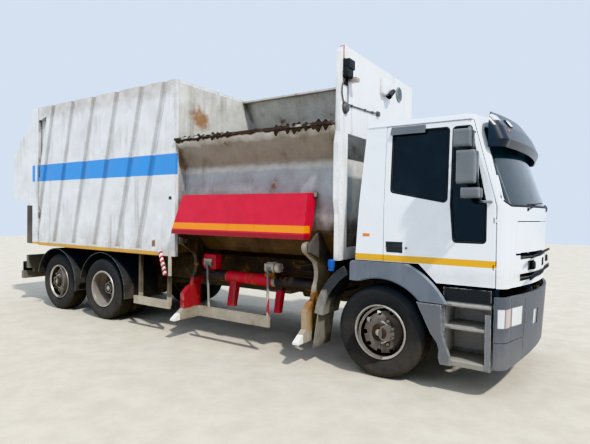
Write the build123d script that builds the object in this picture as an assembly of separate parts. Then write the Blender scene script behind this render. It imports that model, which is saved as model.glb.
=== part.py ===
from build123d import *
import math
import os

# A side-loading garbage truck on three axles. Millimetres, X forward, Y to the left, Z up.
# Places along X are measured from a line just ahead of the front axle; save() moves them to the
# truck's own origin, which is the middle of its footprint on the ground.

# Axles and wheels.
front_kingpin_x = -129
drive_axle_x = -5030
tag_axle_x = -6390
tyre_radius = 507
tyre_width = 310
bead_radius = 285
tyre_shoulder = 45
rim_flange_radius = 298
rim_flange_thickness = 12
rim_barrel_thickness = 13
rim_half_width = 148
disc_thickness = 12
hub_radius = 112
spindle_radius = 38
hand_hole_count = 10
hand_hole_radius = 26
hand_hole_ring = 222
single_wheel_y = 1030
twin_wheel_y = 897
twin_spacing = 345
kingpin_offset = 80
kingpin_radius = 22
knuckle_boss_radius = 50
knuckle_boss_height = 120
front_steer_angle = 28
tag_steer_angle = -13
pin_clearance = 0.05
seat_clearance = 0.3
moving_clearance = 6

# Chassis frame.
rail_outer_y = 425
rail_flange = 75
rail_web = 10
rail_bottom = 700
rail_top = 960
frame_front_x = 1180
frame_rear_x = -7480
crossmember_width = 80
crossmember_height = 130
crossmember_places = (1090, -1500, -3200, -4350, -5700, -7440)

# Garbage body.
body_half_width = 1250
body_wall = 60
body_front_x = -3260
body_rear_x = -6970
body_bottom = 1150
body_top = 3730
body_sheet = 50
floor_thickness = 60
sole_bar_width = 80
groove_width = 130
groove_depth = 38
groove_tops_x = (-6470, -5850, -5240, -4620, -4010, -3490)
groove_lean = 0.236
bulkhead_opening_height = 950
bulkhead_opening_half_width = 930
slot_bottom_z = 2400
slot_top_z = body_top - 190
slot_depth_x = 260
rear_post_width = 110

# Tailgate.
tailgate_front_x = -6990
tailgate_top_x = -7260
tailgate_shoulder_z = body_top - 260
tailgate_belly_top_z = 2900
tailgate_belly_x = -7900
tailgate_belly_bottom_z = 2050
tailgate_foot_x = -7390
tailgate_foot_z = 1950
tailgate_bottom = 1170
tailgate_wall = 60
tailgate_hinge_x = -6300
tailgate_hinge_z = body_top + 47
hinge_arm_radius = 34
hinge_arm_y = 900
hinge_arm_width = 70
hinge_pin_radius = 20

# Hopper and the plate in front of it.
hopper_front_x = -660
hopper_wall = 30
hopper_floor_z = 1250
hopper_near_y = -(body_half_width - 200)
hopper_knee_z = 1600
hopper_toe_y = hopper_near_y + 300
chute_knee_z = 2480
chute_top_z = 2830
chute_lip_y = -(body_half_width + 15)
hopper_far_y = body_half_width - body_wall
deflector_knee_z = 2480
deflector_top_z = body_top - 30
deflector_top_y = 330
deflector_lip = 90
plate_thickness = 60
plate_half_width = body_half_width - 50
plate_top = body_top + 30
plate_bottom = 2750
column_width = 200
column_bottom = 1260
column_chamfer = 90

# Loading flap and lifter.
flap_top_z = 2030
flap_bottom_z = 1490
flap_hinge_y = hopper_near_y - 53
flap_top_y = -(body_half_width + 13)
flap_foot_y = -(body_half_width + 88)
flap_rear_x = -3090
flap_rear_foot_x = -3245
flap_front_x = -990
flap_thickness = 28
flap_cheek_foot_y = flap_foot_y + 130
flap_pin_radius = 12
lift_pivot_y = -body_half_width
lift_pivot_z = 1395
lift_pin_radius = 30
lift_eye_radius = 70
lift_arm_thickness = 60
lift_front_x = -1000
lift_rear_x = -3060
elbow_y = lift_pivot_y + 525
elbow_z = lift_pivot_z - 335
elbow_width = 295
fork_top_z = 780
fork_bottom_z = 280
fork_inner_y = lift_pivot_y + 290
fork_outer_y = lift_pivot_y - 35
fork_tip_y = lift_pivot_y - 220
torque_tube_radius = 78
torque_tube_y = lift_pivot_y + 350
torque_tube_z = 895
strut_places = ((-2850, -2620), (-1753, -1600))
strut_radius = 18
leg_places = ((-2420, -2350), (-1610, -1575))
leg_foot_z = 500
push_bar_rear_x = -2810
push_bar_front_x = -1577
push_bar_y = lift_pivot_y + 50
push_bar_z = 420
push_bar_height = 140

# Packer plate.
packer_front_x = -760
packer_depth = 420
packer_height = 620
packer_sheet = 40
packer_side_gap = 25
guide_height = 60
guide_width = 70

# Cab. Plan sections: height, rear edge, corner start, nose, half width, corner radius.
cab_sections = (
    (1100, -400, 1090, 1365, 1190, 150),
    (1900, -350, 1100, 1385, 1190, 150),
    (2760, -287, 785, 1076, 1127, 150),
)
cab_roof_top = cab_sections[-1][0] + 60
cab_roof_setback = 40
cab_wall = 60
cab_floor_z = 1290
cab_floor_thickness = 60
footwell_x = 530
footwell_z = 1100
tunnel_half_width = 420
tunnel_height = 230
door_gap = 6
door_rear_x = -50
door_front_x = 1095
door_top = 2750
door_pillar_points = ((1095, 1890), (970, 2330), (847, 2750))
door_edge_chamfer = 16
door_pillar_chamfer = 160
door_handle = (-30, 165, 1385, 1510)
door_handle_depth = 20
door_hinge_inset = 14
door_hinge_heights = (1300, 1750)
door_pin_radius = 8
window_corner = 35
glass_inset = 14
glass_thickness = 6
side_window = ((20, 2040), (620, 1925), (620, 2690), (20, 2690))
quarter_window = ((690, 1530), (1000, 1530), (1000, 1900), (905, 2330), (830, 2690), (660, 2690), (660, 1900))
windscreen_half_width = 1165
windscreen_top_half_width = 1020
windscreen_bottom = 1895
windscreen_top = 2680
windscreen_corner = 70
screen_pillar_width = 48
mirror_tube_y = 1375
mirror_tube_low = (985, 1930)
mirror_tube_high = (875, 2620)
mirror_low_seat_x = 1045
mirror_top_seat_y = 1139
mirror_tube_radius = 13
mirror_knuckle_radius = 19
mirror_housings = ((2440, 2610, 135), (2095, 2410, 150), (1960, 2060, 145))
lid_half_width = 950
lid_bottom = 1430
lid_top = 1740
lid_thickness = 35
lid_top_gap = 10
lid_bottom_gap = 22
lid_hinge_y = 170
lid_hinge_x = 1368
lid_hinge_z = lid_top - 12
lid_pin_radius = 5
lid_barrel_radius = 8
lid_ear_inner = 32
lid_ear_outer = 44
lid_notch_side = 4
grille_depth = 25
grille_half_width = 850
grille_slots = ((1372, lid_bottom - 21), (1158, 1215))
grille_square_z = (1250, 1340)
grille_squares_y = (-565, 0, 565)
grille_square_half = 95
visor_sections = (
    (2470, 0, 1030, 1240, 1130, 150),
    (2545, 0, 1060, 1275, 1130, 150),
    (2685, 0, 1000, 1215, 1125, 150),
    (2835, 0, 880, 1110, 1120, 150),
)
visor_rear_x = 990
visor_thickness = 12
cab_pivot_x = 1300
cab_pivot_z = 1000
cab_pin_radius = 15
cab_lug_half = 12
cab_mount_x = -365

# Bumper, steps and mudguards.
bumper_sections = (
    (320, 0, 1090, 1350, 1190, 150),
    (1020, 0, 1100, 1395, 1200, 150),
)
bumper_wall = 30
bumper_chin = ((1180, 300), (1430, 300), (1430, 430))
bumper_groove_z = 580
bumper_groove_y = 750
bumper_groove_width = 12
tow_bore_radius = 20
tow_pin_x = 1245
tow_block_bottom = 560
tow_block_height = 80
headlamp_inner_y = 800
headlamp_bottom = 722
headlamp_top = 905
fog_lamp_y = (300, 480)
fog_lamp_z = (655, 825)
step_rear_x = 600
step_front_x = 1062
step_outer_y = 1190
step_inner_y = 800
step_heights = (920, 690, 350)
step_thickness = 35
step_post_width = 55
step_post_top = 835
rib_pitch = 38
rib_height = 14
rib_depth = 10
front_arch_x = -90
front_arch_radius = 590
front_arch_outer = 840
fender_split_z = 900
fender_outer_y = 1222
fender_inner_edge = ((330, 895), (381, 793), (428, 695), (482, 590), (552, 498), (572, 430), (566, 357),
                     (584, 290))
fender_outer_edge = ((688, 290), (684, 398), (643, 492), (606, 620), (600, 760), (592, 895))
mudguard_thickness = 14
rear_flap_radius = 715
rear_flap_x = -845
rear_guard_radius = 600
rear_guard_bottom = 400
rear_guard_inner_y = 560

origin_shift = (-tailgate_belly_x - bumper_sections[1][3]) / 2


def box(x_low, x_high, y_low, y_high, z_low, z_high):
    middle = ((x_low + x_high) / 2, (y_low + y_high) / 2, (z_low + z_high) / 2)
    return Pos(*middle) * Box(x_high - x_low, y_high - y_low, z_high - z_low)


def side_prism(points, y_low, y_high, corner=0):
    """A side-view outline (x, z) carried across the truck."""
    face = make_face(Polyline([(x, y_low, z) for x, z in points], close=True)).face()
    if corner:
        face = face.fillet_2d(corner, face.vertices())
    return extrude(face, amount=y_high - y_low, dir=(0, 1, 0))


def front_prism(points, x_low, x_high, corner=0):
    """A front-view outline (y, z) carried along the truck."""
    face = make_face(Polyline([(x_low, y, z) for y, z in points], close=True)).face()
    if corner:
        face = face.fillet_2d(corner, face.vertices())
    return extrude(face, amount=x_high - x_low, dir=(1, 0, 0))


def rod_x(radius, x_low, x_high, y, z):
    return Pos((x_low + x_high) / 2, y, z) * Rot(0, 90, 0) * Cylinder(radius, x_high - x_low)


def rod_y(radius, x, y_low, y_high, z):
    return Pos(x, (y_low + y_high) / 2, z) * Rot(90, 0, 0) * Cylinder(radius, y_high - y_low)


def rod_z(radius, x, y, z_low, z_high):
    return Pos(x, y, (z_low + z_high) / 2) * Cylinder(radius, z_high - z_low)


def left_of(shape):
    """The same piece on the left side."""
    return shape.mirror(Plane.XZ)


def both_sides(shape):
    return shape + left_of(shape)


def save(name, shape):
    moved = Pos(origin_shift, 0, 0) * shape
    export_step(moved, f"parts/{name}.step")


def ring_profile(points):
    """A closed outline (y, radius) turned round the Y axis."""
    face = make_face(Polyline([(0, y, radius) for y, radius in points], close=True))
    return revolve(face, Axis.Y, 360)


def tyre():
    half = tyre_width / 2
    inner = bead_radius + seat_clearance
    bead_y = rim_half_width - rim_flange_thickness - seat_clearance
    bead_top = rim_flange_radius + 6
    outline = [
        (-bead_y, inner), (-bead_y, bead_top), (-half, bead_top + 45), (-half, tyre_radius - tyre_shoulder),
        (-half + tyre_shoulder, tyre_radius), (half - tyre_shoulder, tyre_radius),
        (half, tyre_radius - tyre_shoulder), (half, bead_top + 45), (bead_y, bead_top), (bead_y, inner),
    ]
    return ring_profile(outline)


def rim(disc_y, bulge, hub_inner_y, hub_outer_y):
    """A barrel with its flanges, the disc at disc_y bulging by bulge, and the hub."""
    half = rim_half_width
    barrel_inner = bead_radius - rim_barrel_thickness
    barrel = ring_profile([
        (-half, barrel_inner), (half, barrel_inner), (half, rim_flange_radius),
        (half - rim_flange_thickness, rim_flange_radius), (half - rim_flange_thickness, bead_radius),
        (-half + rim_flange_thickness, bead_radius), (-half + rim_flange_thickness, rim_flange_radius),
        (-half, rim_flange_radius),
    ])
    sign = 1 if bulge > 0 else -1
    disc_face_y = disc_y + bulge
    disc = ring_profile([
        (disc_y, barrel_inner + 2), (disc_y + bulge * 0.8, hand_hole_ring + 12),
        (disc_face_y, hand_hole_ring - 45), (disc_face_y, hub_radius - 10),
        (disc_face_y - sign * disc_thickness, hub_radius - 10),
        (disc_face_y - sign * disc_thickness, hand_hole_ring - 45),
        (disc_y + bulge * 0.8 - sign * disc_thickness * 1.4, hand_hole_ring + 6),
        (disc_y - sign * disc_thickness * 2, barrel_inner + 2),
    ])
    for turn in range(hand_hole_count):
        angle = math.radians(360 * turn / hand_hole_count)
        x = hand_hole_ring * math.cos(angle)
        z = hand_hole_ring * math.sin(angle)
        disc -= rod_y(hand_hole_radius, x, disc_y - 60, disc_face_y + 60, z) if sign > 0 else \
            rod_y(hand_hole_radius, x, disc_face_y - 60, disc_y + 60, z)
    hub = rod_y(hub_radius, 0, hub_inner_y, hub_outer_y - 40, 0)
    hub += rod_y(hub_radius - 25, 0, hub_outer_y - 40, hub_outer_y, 0)
    hub -= rod_y(spindle_radius + pin_clearance, 0, hub_inner_y - 1, hub_outer_y - 60, 0)
    return barrel + disc + hub


def single_rim():
    return rim(disc_y=20, bulge=110, hub_inner_y=30, hub_outer_y=185)


def twin_rims():
    """Two dished rims back to back on one long hub."""
    half = twin_spacing / 2
    bulge = 20 - half
    outer = Pos(0, half, 0) * rim(disc_y=-20, bulge=bulge, hub_inner_y=-half, hub_outer_y=40)
    inner = Pos(0, -half, 0) * Rot(0, 0, 180) * rim(disc_y=-20, bulge=bulge, hub_inner_y=-half, hub_outer_y=-20)
    inner -= rod_y(spindle_radius + pin_clearance, 0, -half - 200, half + 40, 0)
    outer -= rod_y(spindle_radius + pin_clearance, 0, -half - 200, half - 20, 0)
    return outer + inner


def twin_tyres():
    half = twin_spacing / 2
    return (Pos(0, half, 0) * tyre()) + (Pos(0, -half, 0) * tyre())


def knuckle():
    """Kingpin at the origin, spindle along +Y to the wheel's centre."""
    ear_low = knuckle_boss_height / 2 + seat_clearance
    ear_high = ear_low + 28
    web_y = knuckle_boss_radius + moving_clearance
    pin = rod_z(kingpin_radius, 0, 0, -ear_high, ear_high)
    upper = rod_z(knuckle_boss_radius, 0, 0, ear_low, ear_high)
    upper += box(-knuckle_boss_radius, knuckle_boss_radius, 0, web_y + 20, ear_low, ear_high)
    lower = upper.mirror(Plane.XY)
    web = box(-knuckle_boss_radius, knuckle_boss_radius, web_y, web_y + 20, -ear_high, ear_high)
    plate = rod_y(190, 0, web_y + 20, web_y + 30, 0)
    spindle = rod_y(spindle_radius, 0, web_y, kingpin_offset + 120, 0)
    return pin + upper + lower + web + plate + spindle


def steered(shape, axle_x, side, angle, out=0):
    """Places a knuckle (out=0) or a wheel (out=kingpin_offset) on its kingpin, turned by angle."""
    turn = angle if side > 0 else angle + 180
    kingpin_y = side * (single_wheel_y - kingpin_offset)
    return Pos(axle_x, kingpin_y, tyre_radius) * Rot(0, 0, turn) * Pos(0, out, 0) * shape


def rail_section(side):
    outer = side * rail_outer_y
    web = outer - side * rail_web
    inner = outer - side * rail_flange
    return [
        (outer, rail_bottom), (outer, rail_top), (inner, rail_top), (inner, rail_top - rail_web),
        (web, rail_top - rail_web), (web, rail_bottom + rail_web), (inner, rail_bottom + rail_web),
        (inner, rail_bottom),
    ]


def frame_rails():
    frame = front_prism(rail_section(1), frame_rear_x, frame_front_x)
    frame += front_prism(rail_section(-1), frame_rear_x, frame_front_x)
    half = rail_outer_y - rail_web
    top = rail_top - rail_web - 10
    for x in crossmember_places:
        frame += box(x - crossmember_width / 2, x + crossmember_width / 2, -half, half,
                     top - crossmember_height, top)
    frame += both_sides(cab_bracket())
    front = crossmember_places[0] + crossmember_width / 2
    tow_top = tow_block_bottom + tow_block_height
    frame += box(front - 80, tow_pin_x + 55, -60, 60, tow_block_bottom, tow_top)
    frame += box(front - 80, front, -60, 60, tow_top, top - crossmember_height)
    frame -= rod_z(tow_bore_radius, tow_pin_x, 0, tow_block_bottom - 10, tow_top + 10)
    return frame


def cab_bracket():
    """The forked bracket of the cab's pivot with its pin, and the post under the cab's rear."""
    y = -rail_outer_y + rail_flange / 2
    reach = cab_lug_half + moving_clearance
    cheek_outline = [
        (1060, rail_top), (1170, rail_top), (cab_pivot_x + 22, cab_pivot_z - 24),
        (cab_pivot_x + 22, cab_pivot_z + 18), (cab_pivot_x - 25, cab_pivot_z + 18), (1060, rail_top + 20),
    ]
    bracket = side_prism(cheek_outline, y - reach - 12, y - reach)
    bracket += side_prism(cheek_outline, y + reach, y + reach + 12)
    bracket += rod_y(cab_pin_radius, cab_pivot_x, y - reach - 12, y + reach + 12, cab_pivot_z)
    bracket += box(cab_mount_x - 25, cab_mount_x + 25, y - 35, y + 35, rail_top, cab_floor_z - seat_clearance)
    return bracket


def leaf_spring(x, y, half_length, seat_z):
    sag = rail_bottom - seat_z - 45
    outline = Polyline([(x - half_length, y - 40, rail_bottom), (x - half_length, y - 40, rail_bottom - 45),
                        (x, y - 40, rail_bottom - 45 - sag), (x + half_length, y - 40, rail_bottom - 45),
                        (x + half_length, y - 40, rail_bottom), (x, y - 40, rail_bottom - sag)], close=True)
    return extrude(make_face(outline), amount=80, dir=(0, 1, 0))


def axle_eye(axle_x, beam_z):
    """The beam's end with its eye for the kingpin, on the left side."""
    y = single_wheel_y - kingpin_offset
    half = knuckle_boss_height / 2
    eye = rod_z(knuckle_boss_radius, axle_x, y, tyre_radius - half, tyre_radius + half)
    arm = front_prism([(y, tyre_radius - half), (y, tyre_radius + half), (y - 90, tyre_radius + half),
                       (y - 260, beam_z + 50), (y - 260, beam_z - 50), (y - 60, tyre_radius - half)],
                      axle_x - 45, axle_x + 45)
    eye += arm
    eye -= rod_z(kingpin_radius + pin_clearance, axle_x, y, 0, 2 * tyre_radius)
    return eye


def front_axle():
    beam_z = 400
    reach = single_wheel_y - kingpin_offset - 255
    x = front_kingpin_x
    beam = box(x - 45, x + 45, -reach, reach, beam_z - 50, beam_z + 50)
    beam += both_sides(axle_eye(x, beam_z))
    for side in (-1, 1):
        y = side * (rail_outer_y - 35)
        beam += box(x - 70, x + 70, y - 50, y + 50, beam_z + 50, 560)
        beam += leaf_spring(x, y, 800, 540)
    return beam


def drive_axle():
    reach = twin_wheel_y - twin_spacing / 2 - 200
    housing = rod_y(75, drive_axle_x, -reach, reach, tyre_radius)
    bowl = Pos(drive_axle_x, 0, tyre_radius) * Sphere(190)
    housing += bowl
    housing += rod_y(spindle_radius, drive_axle_x, -twin_wheel_y - 80, twin_wheel_y + 80, tyre_radius)
    for side in (-1, 1):
        y = side * (rail_outer_y - 35)
        housing += box(drive_axle_x - 520, drive_axle_x + 520, y - 45, y + 45, 390, 450)
        for x in (drive_axle_x - 440, drive_axle_x + 440):
            housing += rod_z(85, x, y, 450, rail_bottom)
    return housing


def tag_axle():
    beam_z = 400
    reach = single_wheel_y - kingpin_offset - 255
    beam = box(tag_axle_x - 45, tag_axle_x + 45, -reach, reach, beam_z - 50, beam_z + 50)
    beam += both_sides(axle_eye(tag_axle_x, beam_z))
    for side in (-1, 1):
        y = side * (rail_outer_y - 35)
        beam += rod_z(85, tag_axle_x, y, beam_z + 40, rail_bottom)
    return beam


def powertrain():
    engine = box(-350, 750, -325, 325, 620, 1250)
    for x in (-250, 500):
        engine += box(x, x + 80, -rail_outer_y + rail_web, rail_outer_y - rail_web, 820, 880)
    gearbox = rod_x(230, -1150, -350, 0, 830)
    shaft_start = (-1150, 0, 700)
    shaft_end = (drive_axle_x + 195, 0, 560)
    shaft = extrude(Plane(origin=shaft_start, z_dir=Vector(*shaft_end) - Vector(*shaft_start)) * Circle(50),
                    amount=(Vector(*shaft_end) - Vector(*shaft_start)).length)
    return engine + gearbox + shaft


def tanks():
    fuel = box(-2150, -1000, rail_outer_y + 60, 1150, 440, 1000)
    fuel = fillet(fuel.edges().filter_by(Axis.X), 90)
    for x in (-1950, -1200):
        fuel += box(x - 40, x + 40, rail_outer_y, rail_outer_y + 160, 720, 940)
    battery = box(-2900, -2350, rail_outer_y, 1080, 480, 930)
    for z in (560, 830):
        battery += rod_x(115, -3900, -2900, rail_outer_y + 200, z)
    for x in (-3150, -3650):
        battery += box(x - 30, x + 30, rail_outer_y, rail_outer_y + 200, 720, 800)
    return fuel + battery


def plan_outline(section, inset):
    """A plan section of the cab: straight sides, rounded corners and a bowed front."""
    z, rear, corner, nose, half_width, radius = section
    half = half_width - inset
    front = nose - inset
    back = rear + inset
    side_end = corner
    reach = half - radius + inset
    shoulder = front - (nose - corner) + radius * 0.75
    sides = Polyline([(side_end, half, z), (back, half, z), (back, -half, z), (side_end, -half, z)])
    right_corner = ThreePointArc((side_end, -half, z), (side_end + (shoulder - side_end) * 0.72,
                                 -half + (half - reach) * 0.30, z), (shoulder, -reach, z))
    bow = ThreePointArc((shoulder, -reach, z), (front, 0, z), (shoulder, reach, z))
    left_corner = ThreePointArc((shoulder, reach, z), (side_end + (shoulder - side_end) * 0.72,
                                half - (half - reach) * 0.30, z), (side_end, half, z))
    return make_face(sides + right_corner + bow + left_corner)


def lofted(sections, inset):
    return loft([plan_outline(section, inset) for section in sections], ruled=True)


def cab_volume(inset):
    """The cab's outer form, or the same form inset by a wall."""
    volume = lofted(cab_sections, inset)
    z, rear, corner, nose, half_width, radius = cab_sections[-1]
    top = (cab_roof_top, rear + cab_roof_setback, corner - cab_roof_setback, nose - 60,
           half_width - cab_roof_setback, radius)
    volume += lofted((cab_sections[-1], top), inset)
    return volume


def door_outline(grow):
    """The door's side view, grown by grow for the opening it shuts."""
    x_rear = door_rear_x - grow
    x_front = door_front_x + grow
    pillar = [(x + grow, z) for x, z in door_pillar_points[1:]]
    low = footwell_z + 5 - 6 * grow
    sill = cab_floor_z - grow
    return [
        (x_rear, sill), (footwell_x - 190 - grow / 2, sill), (footwell_x - grow, low), (x_front, low),
        (x_front, door_pillar_points[0][1]), pillar[0], (pillar[1][0], door_top + grow),
        (x_rear, door_top + grow),
    ]


def door_hinge_notch(z):
    x = door_front_x - door_hinge_inset
    y = -cab_sections[0][4] + door_hinge_inset
    return box(x - 15, door_front_x + 2, y - 20, y + 50, z - 26, z + 26), rod_z(
        door_pin_radius + pin_clearance, x, y, z - 55, z + 55)


def door_hinge_leaf(z):
    """The leaf on the cab's pillar with the pin that the door turns on."""
    x = door_front_x - door_hinge_inset
    y = -cab_sections[0][4] + door_hinge_inset
    leaf = box(x, door_front_x + door_gap + 10, y - 9, y + 9, z - 18, z + 18)
    leaf += rod_z(9, x, y, z - 18, z + 18)
    leaf += rod_z(door_pin_radius, x, y, z - 50, z + 50)
    return leaf


def window_cut(points, y_low, y_high):
    return side_prism(points, y_low, y_high, window_corner)


def cut_skin(outer, zone, depth):
    """The outermost layer of the cab's wall within a zone."""
    return (outer - cab_volume(depth)) & zone


def handle_recess(outer):
    """The recess behind the door's handle, and the handle across it."""
    x_low, x_high, z_low, z_high = door_handle
    recess = cut_skin(outer, box(x_low, x_high, -1400, -700, z_low, z_high), door_handle_depth)
    middle = (z_low + z_high) / 2
    y = -cab_sections[0][4]
    bar = box(x_low + 20, x_high - 20, y + 2, y + door_handle_depth - 4, middle + 5, middle + 38)
    bar += box(x_low - 4, x_low + 24, y + 2, y + door_handle_depth + 6, middle + 5, middle + 38)
    bar += box(x_high - 24, x_high + 4, y + 2, y + door_handle_depth + 6, middle + 5, middle + 38)
    return recess, bar


def grille_cuts(outer):
    """Two long slots with three square holes between them, below the lid."""
    cuts = None
    half = grille_half_width
    for z_low, z_high in grille_slots:
        slot = box(900, 1600, -half, half, z_low, z_high)
        cuts = slot if cuts is None else cuts + slot
    for y in grille_squares_y:
        cuts += box(900, 1600, y - grille_square_half, y + grille_square_half, *grille_square_z)
    return cut_skin(outer, cuts, grille_depth)


def cab_pieces():
    outer = cab_volume(0)
    shell = outer - cab_volume(cab_wall)
    glass_layer = cab_volume(glass_inset) - cab_volume(glass_inset + glass_thickness)
    far = 1400
    near = 700

    door_zone = side_prism(door_outline(0), -far, -near)
    opening = side_prism(door_outline(door_gap), -far, -near)
    door = shell & door_zone
    side_cut = window_cut(side_window, -far, -near)
    quarter_cut = window_cut(quarter_window, -far, -near)
    door -= side_cut
    door -= quarter_cut
    side_y = -cab_sections[0][4]
    chamfer = Polyline([(door_front_x + 1, side_y - 1, footwell_z - 60),
                        (door_front_x - door_edge_chamfer - 1, side_y - 1, footwell_z - 60),
                        (door_front_x + 1, side_y + door_edge_chamfer + 1, footwell_z - 60)], close=True)
    door -= extrude(make_face(chamfer), amount=door_pillar_points[0][1] + 60 - footwell_z, dir=(0, 0, 1))
    knee_x, knee_z = door_pillar_points[0]
    lean = Vector(door_pillar_points[1][0] - knee_x, 0, door_pillar_points[1][1] - knee_z).normalized()
    upper_chamfer = Polyline([(knee_x + 1, side_y - 1, knee_z), (knee_x - door_edge_chamfer - 1, side_y - 1, knee_z),
                              (knee_x + 1, side_y + door_edge_chamfer + 1, knee_z)], close=True)
    door -= extrude(make_face(upper_chamfer), amount=door_pillar_chamfer, dir=lean)
    recess, handle = handle_recess(outer)
    door = (door - recess) + handle
    leaves = None
    for z in door_hinge_heights:
        notch, bore = door_hinge_notch(z)
        door -= notch
        door -= bore
        leaf = door_hinge_leaf(z)
        leaves = leaf if leaves is None else leaves + leaf
    door_glass = (glass_layer & side_cut) + (glass_layer & quarter_cut)
    shell -= opening
    shell -= left_of(opening)

    low_zone = box(-600, 1600, -far, far, 0, cab_floor_z)
    low_front = box(footwell_x, 1600, -far, far, 0, cab_floor_z + 5)
    shell -= low_zone - low_front
    shell -= box(-600, footwell_x + 1, -far, far, 0, cab_floor_z)

    roof_zone = box(-600, 1600, -far, far, door_top + door_gap, 3000)
    front_zone = side_prism([(door_front_x + door_gap, 1000), (2000, 1000), (2000, door_top + door_gap),
                             (door_pillar_points[2][0] + door_gap, door_top + door_gap),
                             (door_pillar_points[1][0] + door_gap, door_pillar_points[1][1]),
                             (door_front_x + door_gap, door_pillar_points[0][1])], -far, far)
    roof = shell & roof_zone
    front = shell & front_zone
    rear = shell - roof_zone - front_zone

    screen_points = [(-windscreen_half_width, windscreen_bottom), (windscreen_half_width, windscreen_bottom),
                     (windscreen_top_half_width, windscreen_top), (-windscreen_top_half_width, windscreen_top)]
    screen_zone = front_prism(screen_points, 500, 1600, windscreen_corner)
    pillar = [(x + screen_pillar_width, z) for x, z in door_pillar_points]
    screen_zone &= side_prism([(pillar[0][0], windscreen_bottom - 20), pillar[0], pillar[1], pillar[2],
                               (1600, door_top), (1600, windscreen_bottom - 20)], -far, far)
    windscreen = glass_layer & screen_zone
    front -= screen_zone

    lid_points = [(-lid_half_width, lid_bottom), (lid_half_width, lid_bottom),
                  (lid_half_width, lid_top), (-lid_half_width, lid_top)]
    side = lid_half_width + moving_clearance
    lid_gap_points = [(-side, lid_bottom - lid_bottom_gap), (side, lid_bottom - lid_bottom_gap),
                      (side, lid_top + lid_top_gap), (-side, lid_top + lid_top_gap)]
    lid = cut_skin(outer, front_prism(lid_points, 900, 1600, 20), lid_thickness)
    front -= front_prism(lid_gap_points, 900, 1600, 20 + moving_clearance)
    front -= grille_cuts(outer)
    front += both_sides(leaves)
    lid, front = hinge_lid(lid, front)
    return roof, front, rear, door, door_glass, windscreen, lid


def hinge_lid(lid, front):
    """Two hinge pins within the lid's top edge, on ears that hang from the panel above."""
    x = lid_hinge_x
    z = lid_hinge_z
    reach = lid_ear_outer
    for y in (-lid_hinge_y, lid_hinge_y):
        for end in (-1, 1):
            notch_low, notch_high = sorted((y + end * (lid_ear_inner - lid_notch_side - 2),
                                            y + end * (lid_ear_outer + lid_notch_side + 2)))
            lid -= box(x - 60, x + 40, notch_low, notch_high, z - lid_barrel_radius - moving_clearance, lid_top + 5)
            ear_low, ear_high = sorted((y + end * lid_ear_inner, y + end * lid_ear_outer))
            ear_top = lid_top + lid_top_gap + 15
            front += box(x - lid_barrel_radius, x + lid_barrel_radius, ear_low, ear_high, z, ear_top)
            front += rod_y(lid_barrel_radius, x, ear_low, ear_high, z)
        lid -= rod_y(lid_pin_radius + pin_clearance, x, y - reach, y + reach, z)
        front += rod_y(lid_pin_radius, x, y - reach, y + reach, z)
    return lid, front


def cab_floor():
    t = cab_floor_thickness
    inner = cab_sections[0][4] - cab_wall - moving_clearance
    rear = -350 + cab_wall
    front = 1290
    profile = [
        (rear, cab_floor_z), (footwell_x - 190, cab_floor_z), (footwell_x, footwell_z), (front, footwell_z),
        (front, footwell_z + t), (footwell_x + 30, footwell_z + t), (footwell_x - 160, cab_floor_z + t),
        (rear, cab_floor_z + t),
    ]
    floor = side_prism(profile, -inner, inner)
    floor = floor & cab_volume(cab_wall)
    tunnel_low = footwell_z - 1
    floor -= box(-600, 900, -tunnel_half_width, tunnel_half_width, tunnel_low, cab_floor_z + t + 1)
    hood = box(rear, 900, -tunnel_half_width, tunnel_half_width, footwell_z, cab_floor_z + tunnel_height)
    hood -= box(rear - 1, 870, -tunnel_half_width + 30, tunnel_half_width - 30, footwell_z - 1,
                cab_floor_z + tunnel_height - 30)
    hood = hood & cab_volume(cab_wall)
    y = -rail_outer_y + rail_flange / 2
    lug = side_prism([(1170, footwell_z), (1280, footwell_z), (cab_pivot_x + 20, cab_pivot_z + 10),
                      (cab_pivot_x + 20, cab_pivot_z - 15), (cab_pivot_x - 20, cab_pivot_z - 15)],
                     y - cab_lug_half, y + cab_lug_half)
    lug += rod_y(24, cab_pivot_x, y - cab_lug_half, y + cab_lug_half, cab_pivot_z)
    lug -= rod_y(cab_pin_radius + pin_clearance, cab_pivot_x, y - 50, y + 50, cab_pivot_z)
    return floor + hood + both_sides(lug)


def seats():
    seat = side_prism([(-60, 1560), (430, 1560), (430, 1690), (60, 1690), (-60, 2330), (-190, 2330)],
                      -960, -480, 25)
    base = box(0, 380, -900, -560, cab_floor_z + cab_floor_thickness, 1560)
    one = seat + base
    return both_sides(one)


def dashboard():
    board = side_prism([(1020, 1900), (1000, 1650), (1080, 1560), (1240, 1560), (1240, 1900)], -1100, 1100)
    board = board & cab_volume(cab_wall)
    wheel = Pos(880, 720, 1830) * Rot(0, -35, 0) * Torus(220, 17)
    wheel += Pos(880, 720, 1830) * Rot(0, -35, 0) * (Box(60, 440, 14) + Box(440, 60, 14))
    column = Pos(960, 720, 1730) * Rot(0, -35, 0) * Cylinder(35, 280)
    return board + wheel + column


def sun_visor():
    """A smoked shade that slopes out over the top of the windscreen, on three brackets."""
    outside = lofted(visor_sections, 0)
    shade = outside - lofted(visor_sections, visor_thickness)
    shade &= box(visor_rear_x, 2000, -1400, 1400, 0, 3000)
    for y in (-700, 0, 700):
        bracket = box(950, 1300, y - 15, y + 15, cab_sections[-1][0] - 10, cab_sections[-1][0] + 8)
        shade += (bracket & lofted(visor_sections, visor_thickness / 2)) - cab_volume(0)
    return shade


def rod_between(start, end, radius):
    line = Vector(*end) - Vector(*start)
    return extrude(Plane(origin=start, z_dir=line) * Circle(radius), amount=line.length)


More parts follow.
